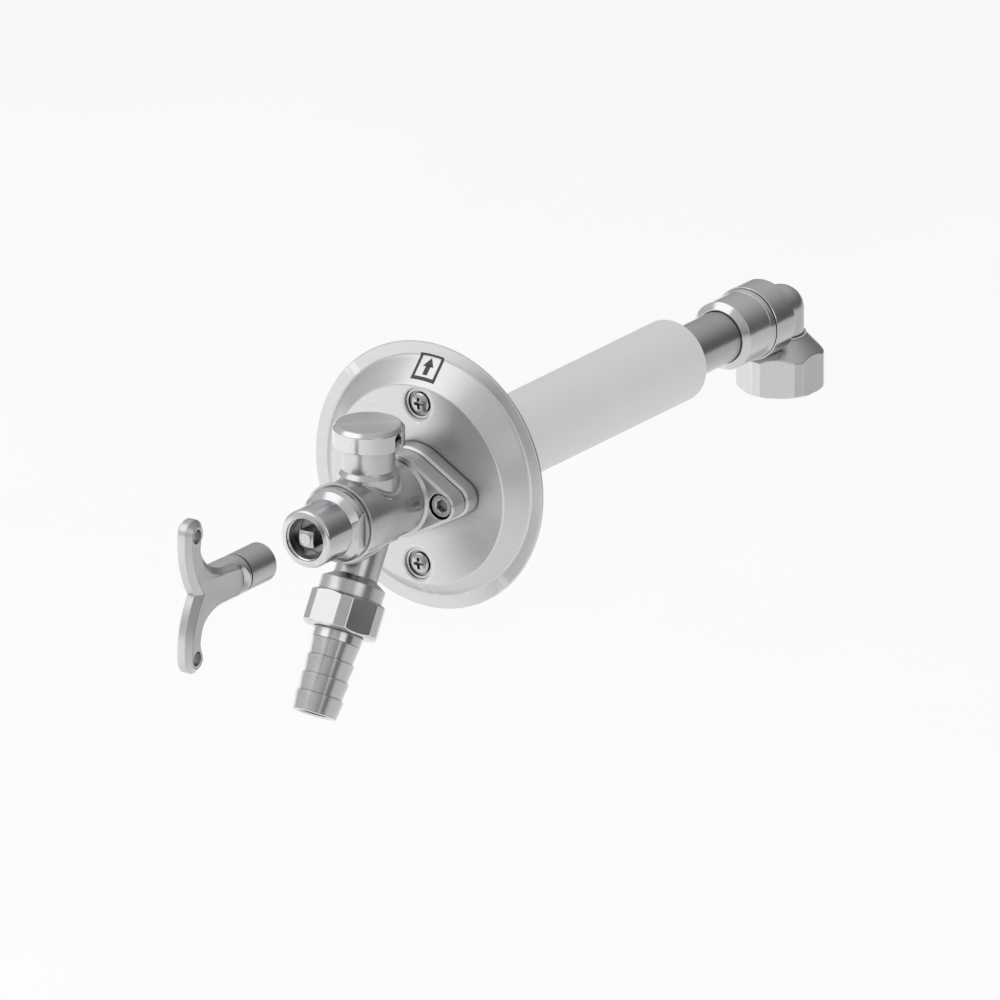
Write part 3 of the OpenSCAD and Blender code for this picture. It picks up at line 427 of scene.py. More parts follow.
# edge=0.522 paints paler lines along the hexagon's edges: partly wear, partly a painted highlight.
HEXED = metal("chromed_hexagon", (0.56, 0.565, 0.575), 0.20, cast=2e-6, edge=0.522)
SHEET = metal("fine_brushed_plate", (0.60, 0.605, 0.61), 0.33,
              grain=(0.05, 1, 1), grain_scale=1800.0, grain_depth=1.5e-6)
TUBE = metal("drawn_steel_tube", (0.50, 0.505, 0.515), 0.25,
             grain=(1, 0.03, 1), grain_scale=2200.0, grain_depth=1.5e-6)
STEEL = metal("bright_steel", (0.50, 0.505, 0.515), 0.24, grain=(1, 0.3, 1), grain_scale=1500.0)
KEYCAST = metal("satin_key_casting", (0.54, 0.545, 0.555), 0.30, cast=5e-6)
BRASS = metal("machined_brass", (0.78, 0.63, 0.36), 0.27, grain=(0.1, 1, 0.1), grain_scale=2200.0)
PALE = plastic("pale_grey_plastic", (0.78, 0.79, 0.795), 0.42)
RUBBER = rubber("sealing_rubber", (0.035, 0.035, 0.037))
INK = plastic("etched_mark", (0.05, 0.05, 0.055), 0.5)

BY_SLOT = {"satin_chrome": CAST, "steel": STEEL, "plate_metal": SHEET, "brass": BRASS,
           "rubber": RUBBER, "pale_plastic": PALE, "key_metal": KEYCAST}
for entry in frame["record"]["subparts"]:
    node = frame["nodes"][entry["node"]]
    node.data.materials.clear()
    node.data.materials.append(BY_SLOT[entry["material_slot"]])


# Wall plate
def plate_shell():
    """Rows blend from the rim's circle, square to the wall, to the disc's circle, square to the tap."""
    disc = [(r, DISC_Y, 0, 1) for r in np.linspace(40.8, 18.0, 20)]
    rows = soften([
        (56.5, 0, 0.25, 0), (56.5, -1, 0.45, 0), (RING_R, -1, 2.2, 0), (DISC_R, DISC_Y, 1.6, 1), *disc,
        (16.5, DISC_Y, 0.3, 1), (16.5, -7.3, 0.2, 1), (42.25, -7.3, 1.2, 1), (50.25, 0, 1.2, 0)], True, 6)
    t = np.arange(288) * 2 * np.pi / 288
    r, s, w = rows[:, :1], rows[:, 1:2], rows[:, 3:4, None]
    u, v = r * np.cos(t), r * np.sin(t)
    level = s + 0 * t
    points = (on_wall(u, v + RIM_RISE, level) * (1 - w) + on_tap_axis(u, v, level) * w).reshape(-1, 3)
    return points, outward(points, quads(len(rows), 288, close_rows=True))


def disc_height(z):
    """Where the disc's face crosses a line square to the wall at height z."""
    return (DISC_Y - FORWARD) / math.cos(TILT) - z * math.tan(TILT)


def square_to_wall(z0):
    """Axis into the wall at the height z0."""
    return lambda u, v, s: np.stack([u, s, v + z0], -1)


def pillar(z0):
    """Screw pillar behind the disc: its lip follows the disc's slope, its foot lies on the wall."""
    top = disc_height(z0)

    def place(u, v, s):
        lean = np.clip((-s - 2.5) / 3, 0, 1) * math.tan(TILT)
        return np.stack([u, s - v * lean, v + z0], -1)

    return turned([
        (7.7, top + 0.05, 0.1), (6.72, top + 0.25, 0.2), (6.65, top + 1.1, 0.12), (5.55, top + 1.1, 0.1),
        (5.45, top + 2.1, 0.1), (3.9, top + 2.2, 0.05), (2.5, top + 3.3, 0.1), (2.5, 0, 0.1),
        (7.8, 0, 0.2), (7.8, top + 0.55, 0.1)], place, 120)


def recess_cutter(z0):
    """Straight plug through the disc, for the opening around a screw head."""
    front, back = disc_height(z0) - 3, disc_height(z0) + 3.5
    profile = [(0, front, 0), (7.6, front, 0), (7.6, back, 0), (0, back, 0)]
    return tool([turned(profile, square_to_wall(z0), 96)])


plate = piece("cover_plate", [plate_shell()], "fixed_unit", SHEET, "wall_plate")
cut_out(plate, [recess_cutter(SCREW_Z), recess_cutter(-SCREW_Z)], SHEET, smooth=40)
pillars = piece("plate_pillars", [pillar(SCREW_Z), pillar(-SCREW_Z)], "fixed_unit", SHEET, "wall_plate")


def cone_patch(angle, radius, lift):
    """Points on the dished part: angle measured from the top, radius from disc edge to rim ring."""
    w = np.clip((RING_R - radius) / 8.0, 0, 1)
    ring = np.maximum(radius, RING_R)
    rim = on_wall(ring * np.sin(angle), ring * np.cos(angle) + RIM_RISE, -1.0 + 0 * angle)
    disc = on_tap_axis(DISC_R * np.sin(angle), DISC_R * np.cos(angle), DISC_Y + 0 * angle)
    p = rim * (1 - w[..., None]) + disc * w[..., None]
    from_ring = np.abs((radius - RING_R) * np.where(radius < RING_R, 1.35, 1.0))
    lift = (lift + 0.17 * np.clip(1 - from_ring / 0.86, 0, 1) ** 2)[..., None]
    return p + lift * np.stack([np.sin(angle) * 0.67, -0.74 + 0 * angle, np.cos(angle) * 0.67], -1)


def mark_skin(x, z):
    """Square grid of points in the mark's plane bent onto the dished part, as a thin closed skin."""
    n = len(x)
    radius = MARK_R + z * 0.78
    angle = x / radius + MARK_TURN
    top, low = cone_patch(angle, radius, 0.08), cone_patch(angle, radius, -0.1)
    points = np.concatenate([top.reshape(-1, 3), low.reshape(-1, 3)])
    upper = quads(n, n, close_columns=False)
    ring = np.concatenate([np.arange(n), np.arange(1, n) * n + n - 1,
                           n * n - 2 - np.arange(n - 1), np.arange(n - 2, 0, -1) * n])
    nxt = np.roll(ring, -1)
    walls = np.stack([ring, nxt, nxt + n * n, ring + n * n], -1)[:, ::-1]
    return points, outward(points, np.concatenate([upper, upper[:, ::-1] + n * n, walls]))


def mark_bar(x0, x1, z0, z1):
    """A rectangle of the mark."""
    a, b = np.meshgrid(np.linspace(0, 1, 14), np.linspace(0, 1, 14))
    return mark_skin(x0 + (x1 - x0) * a, z0 + (z1 - z0) * b)


def arrow_head():
    """Triangle of the generic up arrow, widest at its foot."""
    a, b = np.meshgrid(np.linspace(-1, 1, 14), np.linspace(0, 0.97, 14))
    return mark_skin(a * 2.5 * (1 - b), 0.3 + 3.0 * b)


mark = piece("up_arrow_mark", [
    mark_bar(-5.8, 5.8, 3.95, 5.15), mark_bar(-5.8, 5.8, -4.5, -3.3),
    mark_bar(-5.8, -4.5, -3.4, 4.05), mark_bar(4.5, 5.8, -3.4, 4.05),
    mark_bar(-1.1, 1.1, -2.6, 0.9), arrow_head()], "fixed_unit", INK)


# Screws
def cross_radius(t, arm, half):
    """Outline of a cross slot: arms of the given length and half width along the two axes."""
    lean = np.abs((t + np.pi / 4) % (np.pi / 2) - np.pi / 4)
    return np.minimum(arm / np.cos(lean), half / np.maximum(np.sin(lean), 1e-4))


def wall_screw(z0):
    """Countersunk screw: domed head, helical ridge on the shank, cone point."""
    top = disc_height(z0) + 1.25
    place = square_to_wall(z0)
    dome = [(4.45 * math.sin(a), top - 1.15 * math.cos(a) ** 1.6, 0) for a in np.linspace(1.5, 0.0, 18)]
    under = [(0, top + 2.6, 0), (2.4, top + 2.6, 0.1), (2.4, top + 2.05, 0.3), (4.4, top + 0.2, 0.1)]
    head = turned(under + dome[:-1] + [(0, dome[-1][1], 0)], place, 96)
    rows = np.linspace(top + 2.2, 29.0, 420)
    t = np.arange(40) * 2 * np.pi / 40
    ridge = np.clip(1 - 2.1 * thread(t[None, :], rows[:, None], SCREW_PITCH), 0, 1)
    fade = np.clip((rows - 0.1) / 2, 0, 1)[:, None]
    r = 1.75 + 0.6 * ridge * fade + 0.15 * (1 - fade)
    tip_s = np.linspace(29.05, 32.0, 14)
    tip_r = 1.75 * np.sqrt(np.clip((32.0 - tip_s) / 3, 0, 1))[:, None] + 0 * t[None, :]
    r = np.concatenate([0 * r[:1], r, tip_r])
    s = np.concatenate([rows[:1], rows, tip_s])[:, None] + 0 * t[None, :]
    points = place(r * np.cos(t), r * np.sin(t), s).reshape(-1, 3)
    return head, (points, outward(points, quads(len(s), 40)))


def cross_tool(z0):
    """Tapered cross plug that leaves the slot in a screw head."""
    top = disc_height(z0) + 0.1

    def place(u, v, s):
        c, d = math.cos(0.11), math.sin(0.11)
        return np.stack([u * c - v * d, s, u * d + v * c + z0], -1)

    def arms(r, w, t, s):
        deep = np.clip((s - top) / 1.6, 0, 1)
        return np.minimum(r, cross_radius(t, 2.6 - 0.9 * deep, 0.68 - 0.12 * deep))

    return tool([turned([
        (0, top - 1, 0), (6, top - 1, 0), (6, top, 0), (6, top + 0.8, 0), (6, top + 1.6, 0),
        (0, top + 1.6, 0)], place, 192, arms)])


for label, z0 in (("upper", SCREW_Z), ("lower", -SCREW_Z)):
    head, shank = wall_screw(z0)
    screw_head = piece("wall_screw_head_" + label, [head], "fixed_unit", STEEL, "plate_screws")
    cut_out(screw_head, [cross_tool(z0)], STEEL)
    screw_shank = piece("wall_screw_shank_" + label, [shank], "fixed_unit", STEEL, "plate_screws", smooth=50)


def socket_screw(side):
    """Low socket-head screw: the hexagon socket blends out of the round head."""
    top = -24.0

    def place(u, v, s):
        return wall_from_tap(np.stack([u + side * REACH, s, v], -1))

    def hexed(r, w, t, s):
        return r * (1 - w) + w * r * polygon_radius(t, 6, 2.0) * math.cos(math.pi / 6)

    return turned([
        (0, top + 2.4, 0, 1), (2.887, top + 2.4, 0, 1), (2.887, top + 0.25, 0, 1), (3.2, top, 0.05, 0.6),
        (4.6, top, 0.1), (5.0, top + 0.4, 0.2), (5.0, top + 4, 0.1), (3.0, top + 4, 0),
        (3.0, -9.8, 0), (0, -9.8, 0)], place, 144, hexed)


sockets = piece("flange_socket_screws", [socket_screw(1), socket_screw(-1)],
                "fixed_unit", STEEL, "flange_screws", smooth=28)


# Flanges and body
def lozenge_outline(big, small):
    """Centre circle and two end circles joined by their common tangents, as one loop of points."""
    a = math.acos((big - small) / REACH)
    loops = []
    for centre, r, first, last in ((REACH, small, -a, a), (0, big, a, np.pi - a),
                                   (-REACH, small, np.pi - a, np.pi + a),
                                   (0, big, np.pi + a, 2 * np.pi - a)):
        t = np.linspace(first, last, 26)
        loops.append(np.stack([centre + r * np.cos(t), r * np.sin(t)], -1))
    return np.concatenate(loops)


def lozenge(y0, y1, big, small, bevel):
    """Outline carried from back to front, drawn in over the bevel and closed by flat lids."""
    rows = soften([(0.25, y1, 0), (0, y1 - 0.25, 0.1), (0, y0 + bevel, 0.5), (bevel, y0, 0.3),
                   (bevel + 0.6, y0, 0)], False, 5)
    loops = [lozenge_outline(big - d, small - d) for d in rows[:, 0]]
    n = len(loops[0])
    points = np.concatenate([on_tap_axis(*loop.T, np.full(n, s)) for loop, s in zip(loops, rows[:, 1])])
    faces = quads(len(rows), n).tolist()
    for start in (0, (len(rows) - 1) * n):
        lid = tessellate_polygon([[Vector(p) for p in points[start:start + n]]])
        faces += [[i + start for i in tri] for tri in lid]
    return points, faces


def tap_plug(profile, x=0.0):
    """A turned plug along the tap axis, used to cut a hole."""
    return tool([turned(profile, lambda u, v, s: wall_from_tap(np.stack([u + x, s, v], -1)), 96)])


def hole_profile(y0, y1, small, large=0.0, step=0.0):
    """Profile of a through hole, with a counterbore of radius large down to station step and a bevel."""
    if large:
        lip = large + 0.25
        return [(0, y0 - 2, 0), (lip, y0 - 2, 0), (lip, y0 - 0.01, 0), (large, y0 + 0.25, 0),
                (large, step, 0), (small, step, 0), (small, y1 + 2, 0), (0, y1 + 2, 0)]
    return [(0, y0 - 2, 0), (small, y0 - 2, 0), (small, y1 + 2, 0), (0, y1 + 2, 0)]


p, f = lozenge(-25.0, -16.2, 17.9, 6.5, 1.0)
body_flange = solid("body_flange", p, f, "fixed_unit", CAST, "tap_body")
cut_out(body_flange, [tap_plug(hole_profile(-25, -16.2, 3.3, 5.5, -20.0), x) for x in (REACH, -REACH)]
        + [tap_plug(hole_profile(-25, -16.2, 9.5))], CAST)
p, f = lozenge(-15.7, -8.3, 18.7, 7.4, 1.0)
pipe_flange = solid("pipe_flange_casting", p, f, "fixed_unit", CAST, "pipe_flange")
cut_out(pipe_flange, [tap_plug(hole_profile(-15.7, -8.3, 3.0), x) for x in (REACH, -REACH)]
        + [tap_plug(hole_profile(-15.7, -8.3, 11.05))], CAST)
spigot = piece("pipe_flange_spigot", [turned([
    (16.45, -8.4, 0), (16.45, 8, 0.4), (11.05, 8, 0.3), (11.05, -13, 0), (9.5, -13, 0), (9.5, -15.6, 0),
    (11.2, -15.6, 0), (14, -8.4, 0)], on_tap_axis)], "fixed_unit", CAST, "pipe_flange")


def rolled(s, centre, ball):
    """Swell of a root fillet left by a ball whose centre stands at that height."""
    drop = np.clip(centre - s, 0, ball)
    return ball - np.sqrt(ball ** 2 - drop ** 2) + 0.5 * np.clip(centre - ball - s, 0, 1.2)


def outlet_shape(r, w, t, s):
    """Helical ridge where the blend is 1; a ball of 2.5 mm rolls round the root against the barrel."""
    u, v = 11.8 * np.cos(t), 11.8 * np.sin(t)
    centre = (0.5 * v + np.sqrt(18.4 ** 2 - u ** 2)) / 0.866
    return r + np.where((r > 9) & (s < 30), rolled(s, centre, 2.5), 0) - w * 0.85 * thread(t, s, PIPE_PITCH)


def turret_shape(r, w, t, s):
    """A ball of 1.3 mm rolls round the turret's foot against the barrel."""
    centre = np.sqrt(17.2 ** 2 - (13.7 * np.cos(t)) ** 2)
    return r + np.where((r > 12) & (s < 15.7), rolled(s, centre, 1.3), 0)


barrel = turned([
    (17.1, -64.7, 0.25), (17.1, -63.5, 0.25), (15.9, -63.5, 0.15), (15.9, -26.2, 0.6), (17.2, -24.9, 0.3),
    (17.2, -24.0, 0), (11.5, -24.0, 0), (11.5, -52.5, 0), (13.0, -52.5, 0), (13.0, -64.7, 0.3)],
    on_tap_axis, 192)
foot_rows = [(12.4, s, 0) for s in np.linspace(8, 15.55, 30)]
neck = turned(foot_rows + [
    (12.4, 15.8, 0.3), (11.0, 18.0, 1.2), (11.0, 32.0, 0.25), (9.0, 32.0, 0.25), (9.0, 24.0, 0),
    (5.8, 24.0, 0), (5.8, 13, 0), (8, 8, 0)], on_turret, 144, turret_shape)
root_rows = [(9.3, s, 0) for s in np.linspace(9, 28.8, 60)]
thread_rows = [(13.2, s, 0, 1) for s in np.linspace(40.2, 47.2, 60)]
outlet = turned(root_rows + [
    (9.3, 31.2, 1.0), (13.6, 33.85, 0.35), (13.6, 39.7, 0.3), (13.2, 40.0, 0.05, 0), *thread_rows,
    (12.3, 48.0, 0.2), (7.3, 48.0, 0.3), (7.3, 8, 0)], on_outlet, 144, outlet_shape)
body = piece("tap_body_casting", [barrel, neck, outlet], "fixed_unit", CAST, "tap_body")


# Bonnet and spindle
def wrench_flats(r, w, t, s):
    """Two spanner flats, left and right, cut into the cone as far as the round flange behind it."""
    on = (s > -72.4) & (s < -65.92)
    return np.where(on, np.minimum(r, 13.85 / np.maximum(np.abs(np.cos(t)), 0.05)), r)


cone_rows = [(15.0 + 0.85 * k, -69.8 + 2.3 * k, 0) for k in np.linspace(0.12, 0.88, 12)]
bonnet = piece("bonnet_nose", [turned([
    (8.6, -87.7, 0.08), (9.15, -88.25, 0.05), (9.2, -88.8, 0.06), (9.5, -89.0, 0.12), (12.45, -88.2, 2.2),
    (12.45, -72.5, 0.25), (15.0, -69.8, 0.2), *cone_rows, (15.85, -67.5, 0.1), (15.9, -65.96, 0),
    (15.9, -65.88, 0), (15.9, -64.72, 0.1), (12.95, -64.72, 0), (12.95, -53, 0.3), (8.5, -53, 0.3),
    (8.5, -71.5, 0), (5.06, -71.5, 0), (5.06, -78.5, 0.1), (8.6, -78.5, 0.3)],
    on_tap_axis, 288, wrench_flats, arcs=7)], "fixed_unit", TURNED, "bonnet")


def spindle_shape(r, w, t, s):
    """Square of 7 mm under a flat cone with a round end face in front, a thread of 2 mm behind."""
    cone = 2.7 + (s + 88.15) * 2.3
    square = soft_min(polygon_radius(t, 4, 7.0) + 0 * s, 4.75 + 0 * s, 0.3)
    end = np.minimum(r, np.where(s < -88.15, r, soft_min(square, cone, 0.15)))
    return np.where(s < -79.6, end, r) - w * 0.9 * thread(t, s, 2.0)


cone_rows = [(2.7 + 2.3 * k, -88.15 + k, 0) for k in np.linspace(0.0, 1.2, 20)]
thread_rows = [(4.0, s, 0, 1) for s in np.linspace(-67.6, -51.2, 130)]
spindle = piece("spindle_square", [turned([
    (0, -88.4, 0), (2.55, -88.4, 0.03), (2.6, -88.16, 0), *cone_rows, (5.6, -86.8, 0), (5.6, -79.62, 0),
    (5.0, -79.5, 0.2), (5.0, -77.25, 0.1), (3.95, -77.25, 0), (3.95, -75.35, 0), (5.0, -75.35, 0.1),
    (5.0, -74.15, 0.1), (3.95, -74.15, 0), (3.95, -72.85, 0), (5.0, -72.85, 0.1), (5.0, -71.4, 0),
    (8.0, -71.4, 0.2), (8.0, -68.4, 0.2), (4.0, -68.4, 0), *thread_rows, (3.0, -50.0, 0.2),
    (0, -50.0, 0)], on_tap_axis, 192, spindle_shape)], "spindle_unit", STEEL, "spindle", smooth=30)


# Turret cap
def slot_tool(side):
    """Upright slot with a round top, cut through one side of the cap."""
    t = np.linspace(0, np.pi, 24)
    top = np.stack([2.2 * np.cos(t), 33.2 + 2.2 * np.sin(t)], -1)
    across, height = np.concatenate([top, [[-2.2, 26.0], [2.2, 26.0]]]).T
    n = len(across)
    points = np.concatenate([
        wall_from_tap(np.stack([np.full(n, side * depth), TURRET_Y + across * wide, height], -1))
        for depth, wide in ((12.2, 1.0), (17.0, 1.04))])
    faces = quads(2, n).tolist() + [list(range(n)), list(range(2 * n - 1, n - 1, -1))]
    return solid("tool", points, faces, None, None)


cap = piece("turret_cap", [turned([
    (11.05, 28.25, 0.2), (14.9, 28.25, 0.4), (14.9, 35.5, 0.8), (13.3, 37.4, 1.2), (0.05, 37.4, 0),
    (0.05, 35.9, 0), (12.8, 35.9, 0.5), (12.8, 31.0, 0), (11.05, 31.0, 0)], on_turret, 192, arcs=6)],
    "fixed_unit", TURNED, "breaker_cap")
cut_out(cap, [slot_tool(1), slot_tool(-1)], TURNED)


# Hose nut and tail
def nut_shape(r, w, t, s):
    """Hexagon with cut corners and coned ends: the least of two hexagons and two cones."""
    six = polygon_radius(t, 6, 30.8, math.pi / 6)
    corner = polygon_radius(t, 6, 32.6, 0.0)
    cone = 14.9 + np.minimum(s - 39.8, 54.5 - s) * 1.55
    outer = soft_min(soft_min(six, corner, 0.12) + 0 * s, cone, 0.25)
    return np.where(w > 0.5, outer, r)


def outer_rows(radius, *spans):
    """Rows for a shaped outside: stations in spans of (first, last, how many)."""
    return [(radius, s, 0, 1) for s in np.concatenate([np.linspace(*span) for span in spans])]


hose_nut = piece("hose_nut_hexagon", [turned([
    *outer_rows(15.0, (39.8, 42.6, 16), (43.2, 51.1, 4), (51.7, 54.5, 16)),
    (14.0, 54.5, 0.1), (10.46, 54.5, 0.3), (10.46, 52.6, 0), (13.26, 52.6, 0), (13.26, 40.4, 0),
    (13.8, 39.8, 0.1)], on_outlet, 360, nut_shape)], "nut_unit", HEXED, "hose_nut", smooth=24)

barbs = []
for edge in (66.6, 74.3, 82.0):
    barbs += [(9.3, edge - 0.06, 0.08), (10.25, edge, 0.08)]
tail = piece("barbed_hose_tail", [turned([
    (7.0, 50.35, 0.1), (12.9, 50.35, 0.1), (12.9, 52.45, 0.1), (9.8, 52.45, 0), (9.8, 54.6, 0),
    (10.25, 54.6, 0.05), (10.25, 58.7, 0.04), (10.05, 58.85, 0.03), (10.2, 59.0, 0.04), *barbs,
    (9.3, 89.75, 0.12), (9.15, 89.9, 0.1), (7.5, 89.9, 0.1), (7.0, 89.2, 0.2)], on_outlet, 168)],
    "fixed_unit", TURNED, "hose_tail")

# Wall pipe and rear fitting
sleeve = piece("wall_sleeve_tube", [turned([
    (16.5, -7.25, 0.1), (17.5, -7.25, 0.1), (17.5, 172, 0.35), (16.5, 172, 0.3)], on_tap_axis, 192)],
    "fixed_unit", PALE, "wall_sleeve")
pipe = piece("water_pipe_tube", [turned([
    (9.9, -12.9, 0), (11.0, -12.9, 0.2), (11.0, 221.8, 0.3), (9.9, 221.8, 0.2)], on_tap_axis, 160)],
    "fixed_unit", TUBE, "inner_pipe")
comp = piece("compression_nut_turned", [turned([
    (11.2, 205.9, 0.15), (11.75, 205.9, 0.2), (14.3, 208.0, 0.5), (14.4, 208.1, 0), (14.4, 222.6, 0.1),
    (14.55, 222.75, 0.1), (15.1, 225.1, 0.25), (14.6, 225.2, 0.1), (13.05, 225.2, 0.1), (13.05, 212.6, 0),
    (11.2, 209.7, 0)], on_tap_axis, 168)], "fixed_unit", TURNED, "compression_nut")
coupling = piece("coupling_turned", [turned([
    (11.05, 215.2, 0), (12.15, 213.4, 0.1), (12.9, 213.4, 0.2), (12.95, 225.4, 0), (15.35, 225.4, 0.1),
    (15.6, 225.7, 0.2), (15.6, 237.8, 0.5), (15.1, 238.3, 0.3), (12.0, 238.3, 0), (12.0, 229.5, 0),
    (9.5, 229.5, 0), (9.5, 222.0, 0), (11.05, 222.0, 0)], on_tap_axis, 168)],
    "fixed_unit", TURNED, "coupling_body")


# Elbow: outer radius of tube and ball-shaped bend, first station of the tube, last one of the bend,
# and the length of the straight drop below it
ELBOW_R = 9.8
ELBOW_START = 239.25
ARC_END = BRANCH_Y + ELBOW_R * math.pi / 2
ELBOW_DROP = 9.9


def on_elbow(u, v, s):
    """Mitred pipe line: it runs along the tap axis, turns down about one point and drops; s is the path."""
    turn = np.clip((s - BRANCH_Y) / ELBOW_R, 0, np.pi / 2)
    drop = np.maximum(s - ARC_END, 0)
    shear = np.clip((s - ELBOW_START) / (BRANCH_Y - ELBOW_START), 0, 1)
    fade = 1 - np.clip(drop / ELBOW_DROP, 0, 1)
    y = np.where(v > 0, v * np.sin(turn) + (drop > 0) * v * (1 - np.sin(turn)), shear * v)
    z = np.where(v > 0, v * np.cos(turn), v * fade)
    return wall_from_tap(np.stack([u, np.minimum(s, BRANCH_Y) + y, z - drop], -1))


elbow_path = np.concatenate([np.linspace(ELBOW_START, BRANCH_Y, 5), np.linspace(BRANCH_Y, ARC_END, 24)[1:],
                             np.linspace(ARC_END, ARC_END + ELBOW_DROP, 6)[1:]])
elbow = piece("elbow_casting", [turned([
    (7.3, 232.6, 0.2), (11.95, 232.6, 0.1), (11.95, 238.25, 0.1), (10.4, 238.25, 0.1), (10.4, 239.0, 0.2),
    *[(ELBOW_R, s, 0) for s in elbow_path], (8.98, ARC_END + 9.95, 0), (8.98, ARC_END + 16.9, 0.2),
    (7.3, ARC_END + 16.9, 0.2), *[(7.3, s, 0) for s in elbow_path[::-1]]], on_elbow, 144)],
    "fixed_unit", CAST, "elbow")


def union_shape(r, w, t, s):
    """Hexagon with cut corners under a cone, and a rounded lower edge; a thread where the blend is 0.4."""
    six = polygon_radius(t, 6, 33.0, 0.0)
    corner = polygon_radius(t, 6, 35.8, math.pi / 6)
    cone = 10.7 + (-10.8 - s) * (7.3 / 7.9)
    foot = 16.2 + np.sqrt(np.clip((s + 33.8) * 3.2, 0, 6.0))
    outer = soft_min(soft_min(soft_min(six, corner, 0.12) + 0 * s, cone, 0.25), foot, 0.2)
    inner = r - 0.45 * thread(t, s, PIPE_PITCH)
    return np.where(w > 0.5, outer, np.where(w > 0.3, inner, r))


thread_rows = [(12.55, s, 0, 0.4) for s in np.linspace(-21.5, -32.6, 90)]
union = piece("inlet_union_hexagon", [turned([
    *outer_rows(18.0, (-33.8, -32.0, 12), (-31.0, -21.0, 4), (-20.5, -10.85, 44)),
    (10.7, -10.8, 0.1), (10.7, -9.95, 0.2), (9.05, -9.95, 0), (9.05, -16.9, 0), (9.5, -16.9, 0),
    (9.5, -20.3, 0), (12.1, -20.3, 0), *thread_rows, (12.6, -33.0, 0.1), (13.3, -33.8, 0.2)],
    on_branch, 360, union_shape)], "fixed_unit", HEXED, "inlet_union", smooth=24)
seat = tap_plug([(0, 225, 0), (15.9, 225, 0), (15.9, 238.6, 0), (0, 238.6, 0)])
cut_out(union, [seat], HEXED, smooth=24)


# Key
def key_rows():
    """Wings and tongue from the side face over the bevel to the flat edge, as loops of [X, Y, Z].

    The inner border's front is a parabola down to the notch, its tips are half circles, its rear a
    quarter ellipse into the tongue; the outer border follows it at the bevel's width. Each border is
    drawn as [Y, Z] for the upper half, and its mirror image below closes it.
    """
    q = np.linspace(0, 1, 16)
    half = np.pi / 2
    height = 24 * q
    front_in = np.stack([-174 + (24 - height) ** 2 / 68.6, height], -1)
    front_out = np.stack([front_in[:, 0] - 2.5 - 1.5 * (1 - q), height], -1)
    a = np.linspace(-half, 1.5 * half, 33)
    tip_in = np.stack([-170.3 + 3.7 * np.sin(a), 27.1 + 3.7 * np.cos(a)], -1)
    tip_out = np.stack([-170.3 + 6.2 * np.sin(a), 27.1 + 6.2 * np.cos(a)], -1)
    b = np.linspace(0.0, half, 26)
    rear_in = np.stack([-153.2 - 15.1 * np.cos(b), 21.2 - 15.1 * np.sin(b)], -1)
    rear_out = np.stack([-151.6 - 14.3 * np.cos(b), 21.2 - 13.2 * np.sin(b)], -1)
    c = np.linspace(half, 0, 34)
    tongue_in = np.stack([-146.4 + 5.7 * np.cos(c), 5.7 * np.sin(c)], -1)
    tongue_out = np.stack([-146.5 + 7.1 * np.cos(c), 7.9 * np.sin(c)], -1)
    inner = np.concatenate([front_in[:-1], tip_in, rear_in, tongue_in])
    outer = np.concatenate([front_out[:-1], tip_out, rear_out, tongue_out])
    # Half width at the flat edge: even at the wings, growing behind them, round like the shank at the end
    shank = np.maximum(np.sqrt(8.55 ** 2 - tongue_out[:, 1] ** 2), 3.4)
    wings = np.full(len(front_in) - 1 + len(tip_in), 1.7)
    wide = np.concatenate([wings, np.linspace(1.7, 3.4, len(rear_in)), shank])
    mid = outer.copy()
    mid[-len(tongue_in):, 1] *= 0.9
    inner, outer, mid = (np.concatenate([line, line[-2:0:-1] * [1, -1]]) for line in (inner, outer, mid))
    wide = np.concatenate([wide, wide[-2:0:-1]])
    side = 3.9 + 2.3 * np.clip((inner[:, 0] + 165) / 20, 0, 1)
    o3, i3 = np.column_stack([wide, outer]), np.column_stack([side, inner])
    centre = np.column_stack([np.zeros(len(wide)), mid])

    def unit(step):
        return step / np.maximum(np.linalg.norm(step, axis=1), 0.1)[:, None]

    bevel, flat = unit(i3 - o3), unit(centre - o3)
    pull = np.column_stack([np.zeros(len(wide)), unit(inner - outer)])
    deep = np.array([0.2, 0, 0])
    return [i3 + pull * 0.8, i3 + pull * 0.42, i3 + pull * 0.3 - deep, i3 + pull * 0.06 - deep,
            i3 - bevel * 0.12, i3 - bevel * 0.3, o3 + bevel * 0.3, o3 + bevel * 0.1,
            o3 + flat * 0.12, o3 + flat * 0.35, centre]


def lofted(loops):
    """Closed loops of points joined in order, with a flat lid over the first and over the last."""
    grid = np.stack(loops)
    m, n = grid.shape[:2]
    points = grid.reshape(-1, 3)
    faces = quads(m, n).tolist()
    for start in (0, (m - 1) * n):
        lid = tessellate_polygon([[Vector((0, *p[1:])) for p in points[start:start + n]]])
        faces += [[i + start for i in tri] for tri in lid]
    return wall_from_tap(points), faces


def key_shell():
    """The loops of one side, the middle and the same loops mirrored in X."""
    rows = key_rows()
    return lofted(rows + [r * [-1, 1, 1] for r in rows[-2::-1]])


def key_pocket(side):
    """All that stands above one side of the wings inside their outer border, to be cut from the shank."""
    rows = [r - [0.04, 0, 0] for r in key_rows()[:8]]
    top = rows[-1].copy()
    top[:, 0] = 12
    p, f = lofted([r * [side, 1, 1] for r in rows + [top]])
    return solid("tool", p, f, None, None)


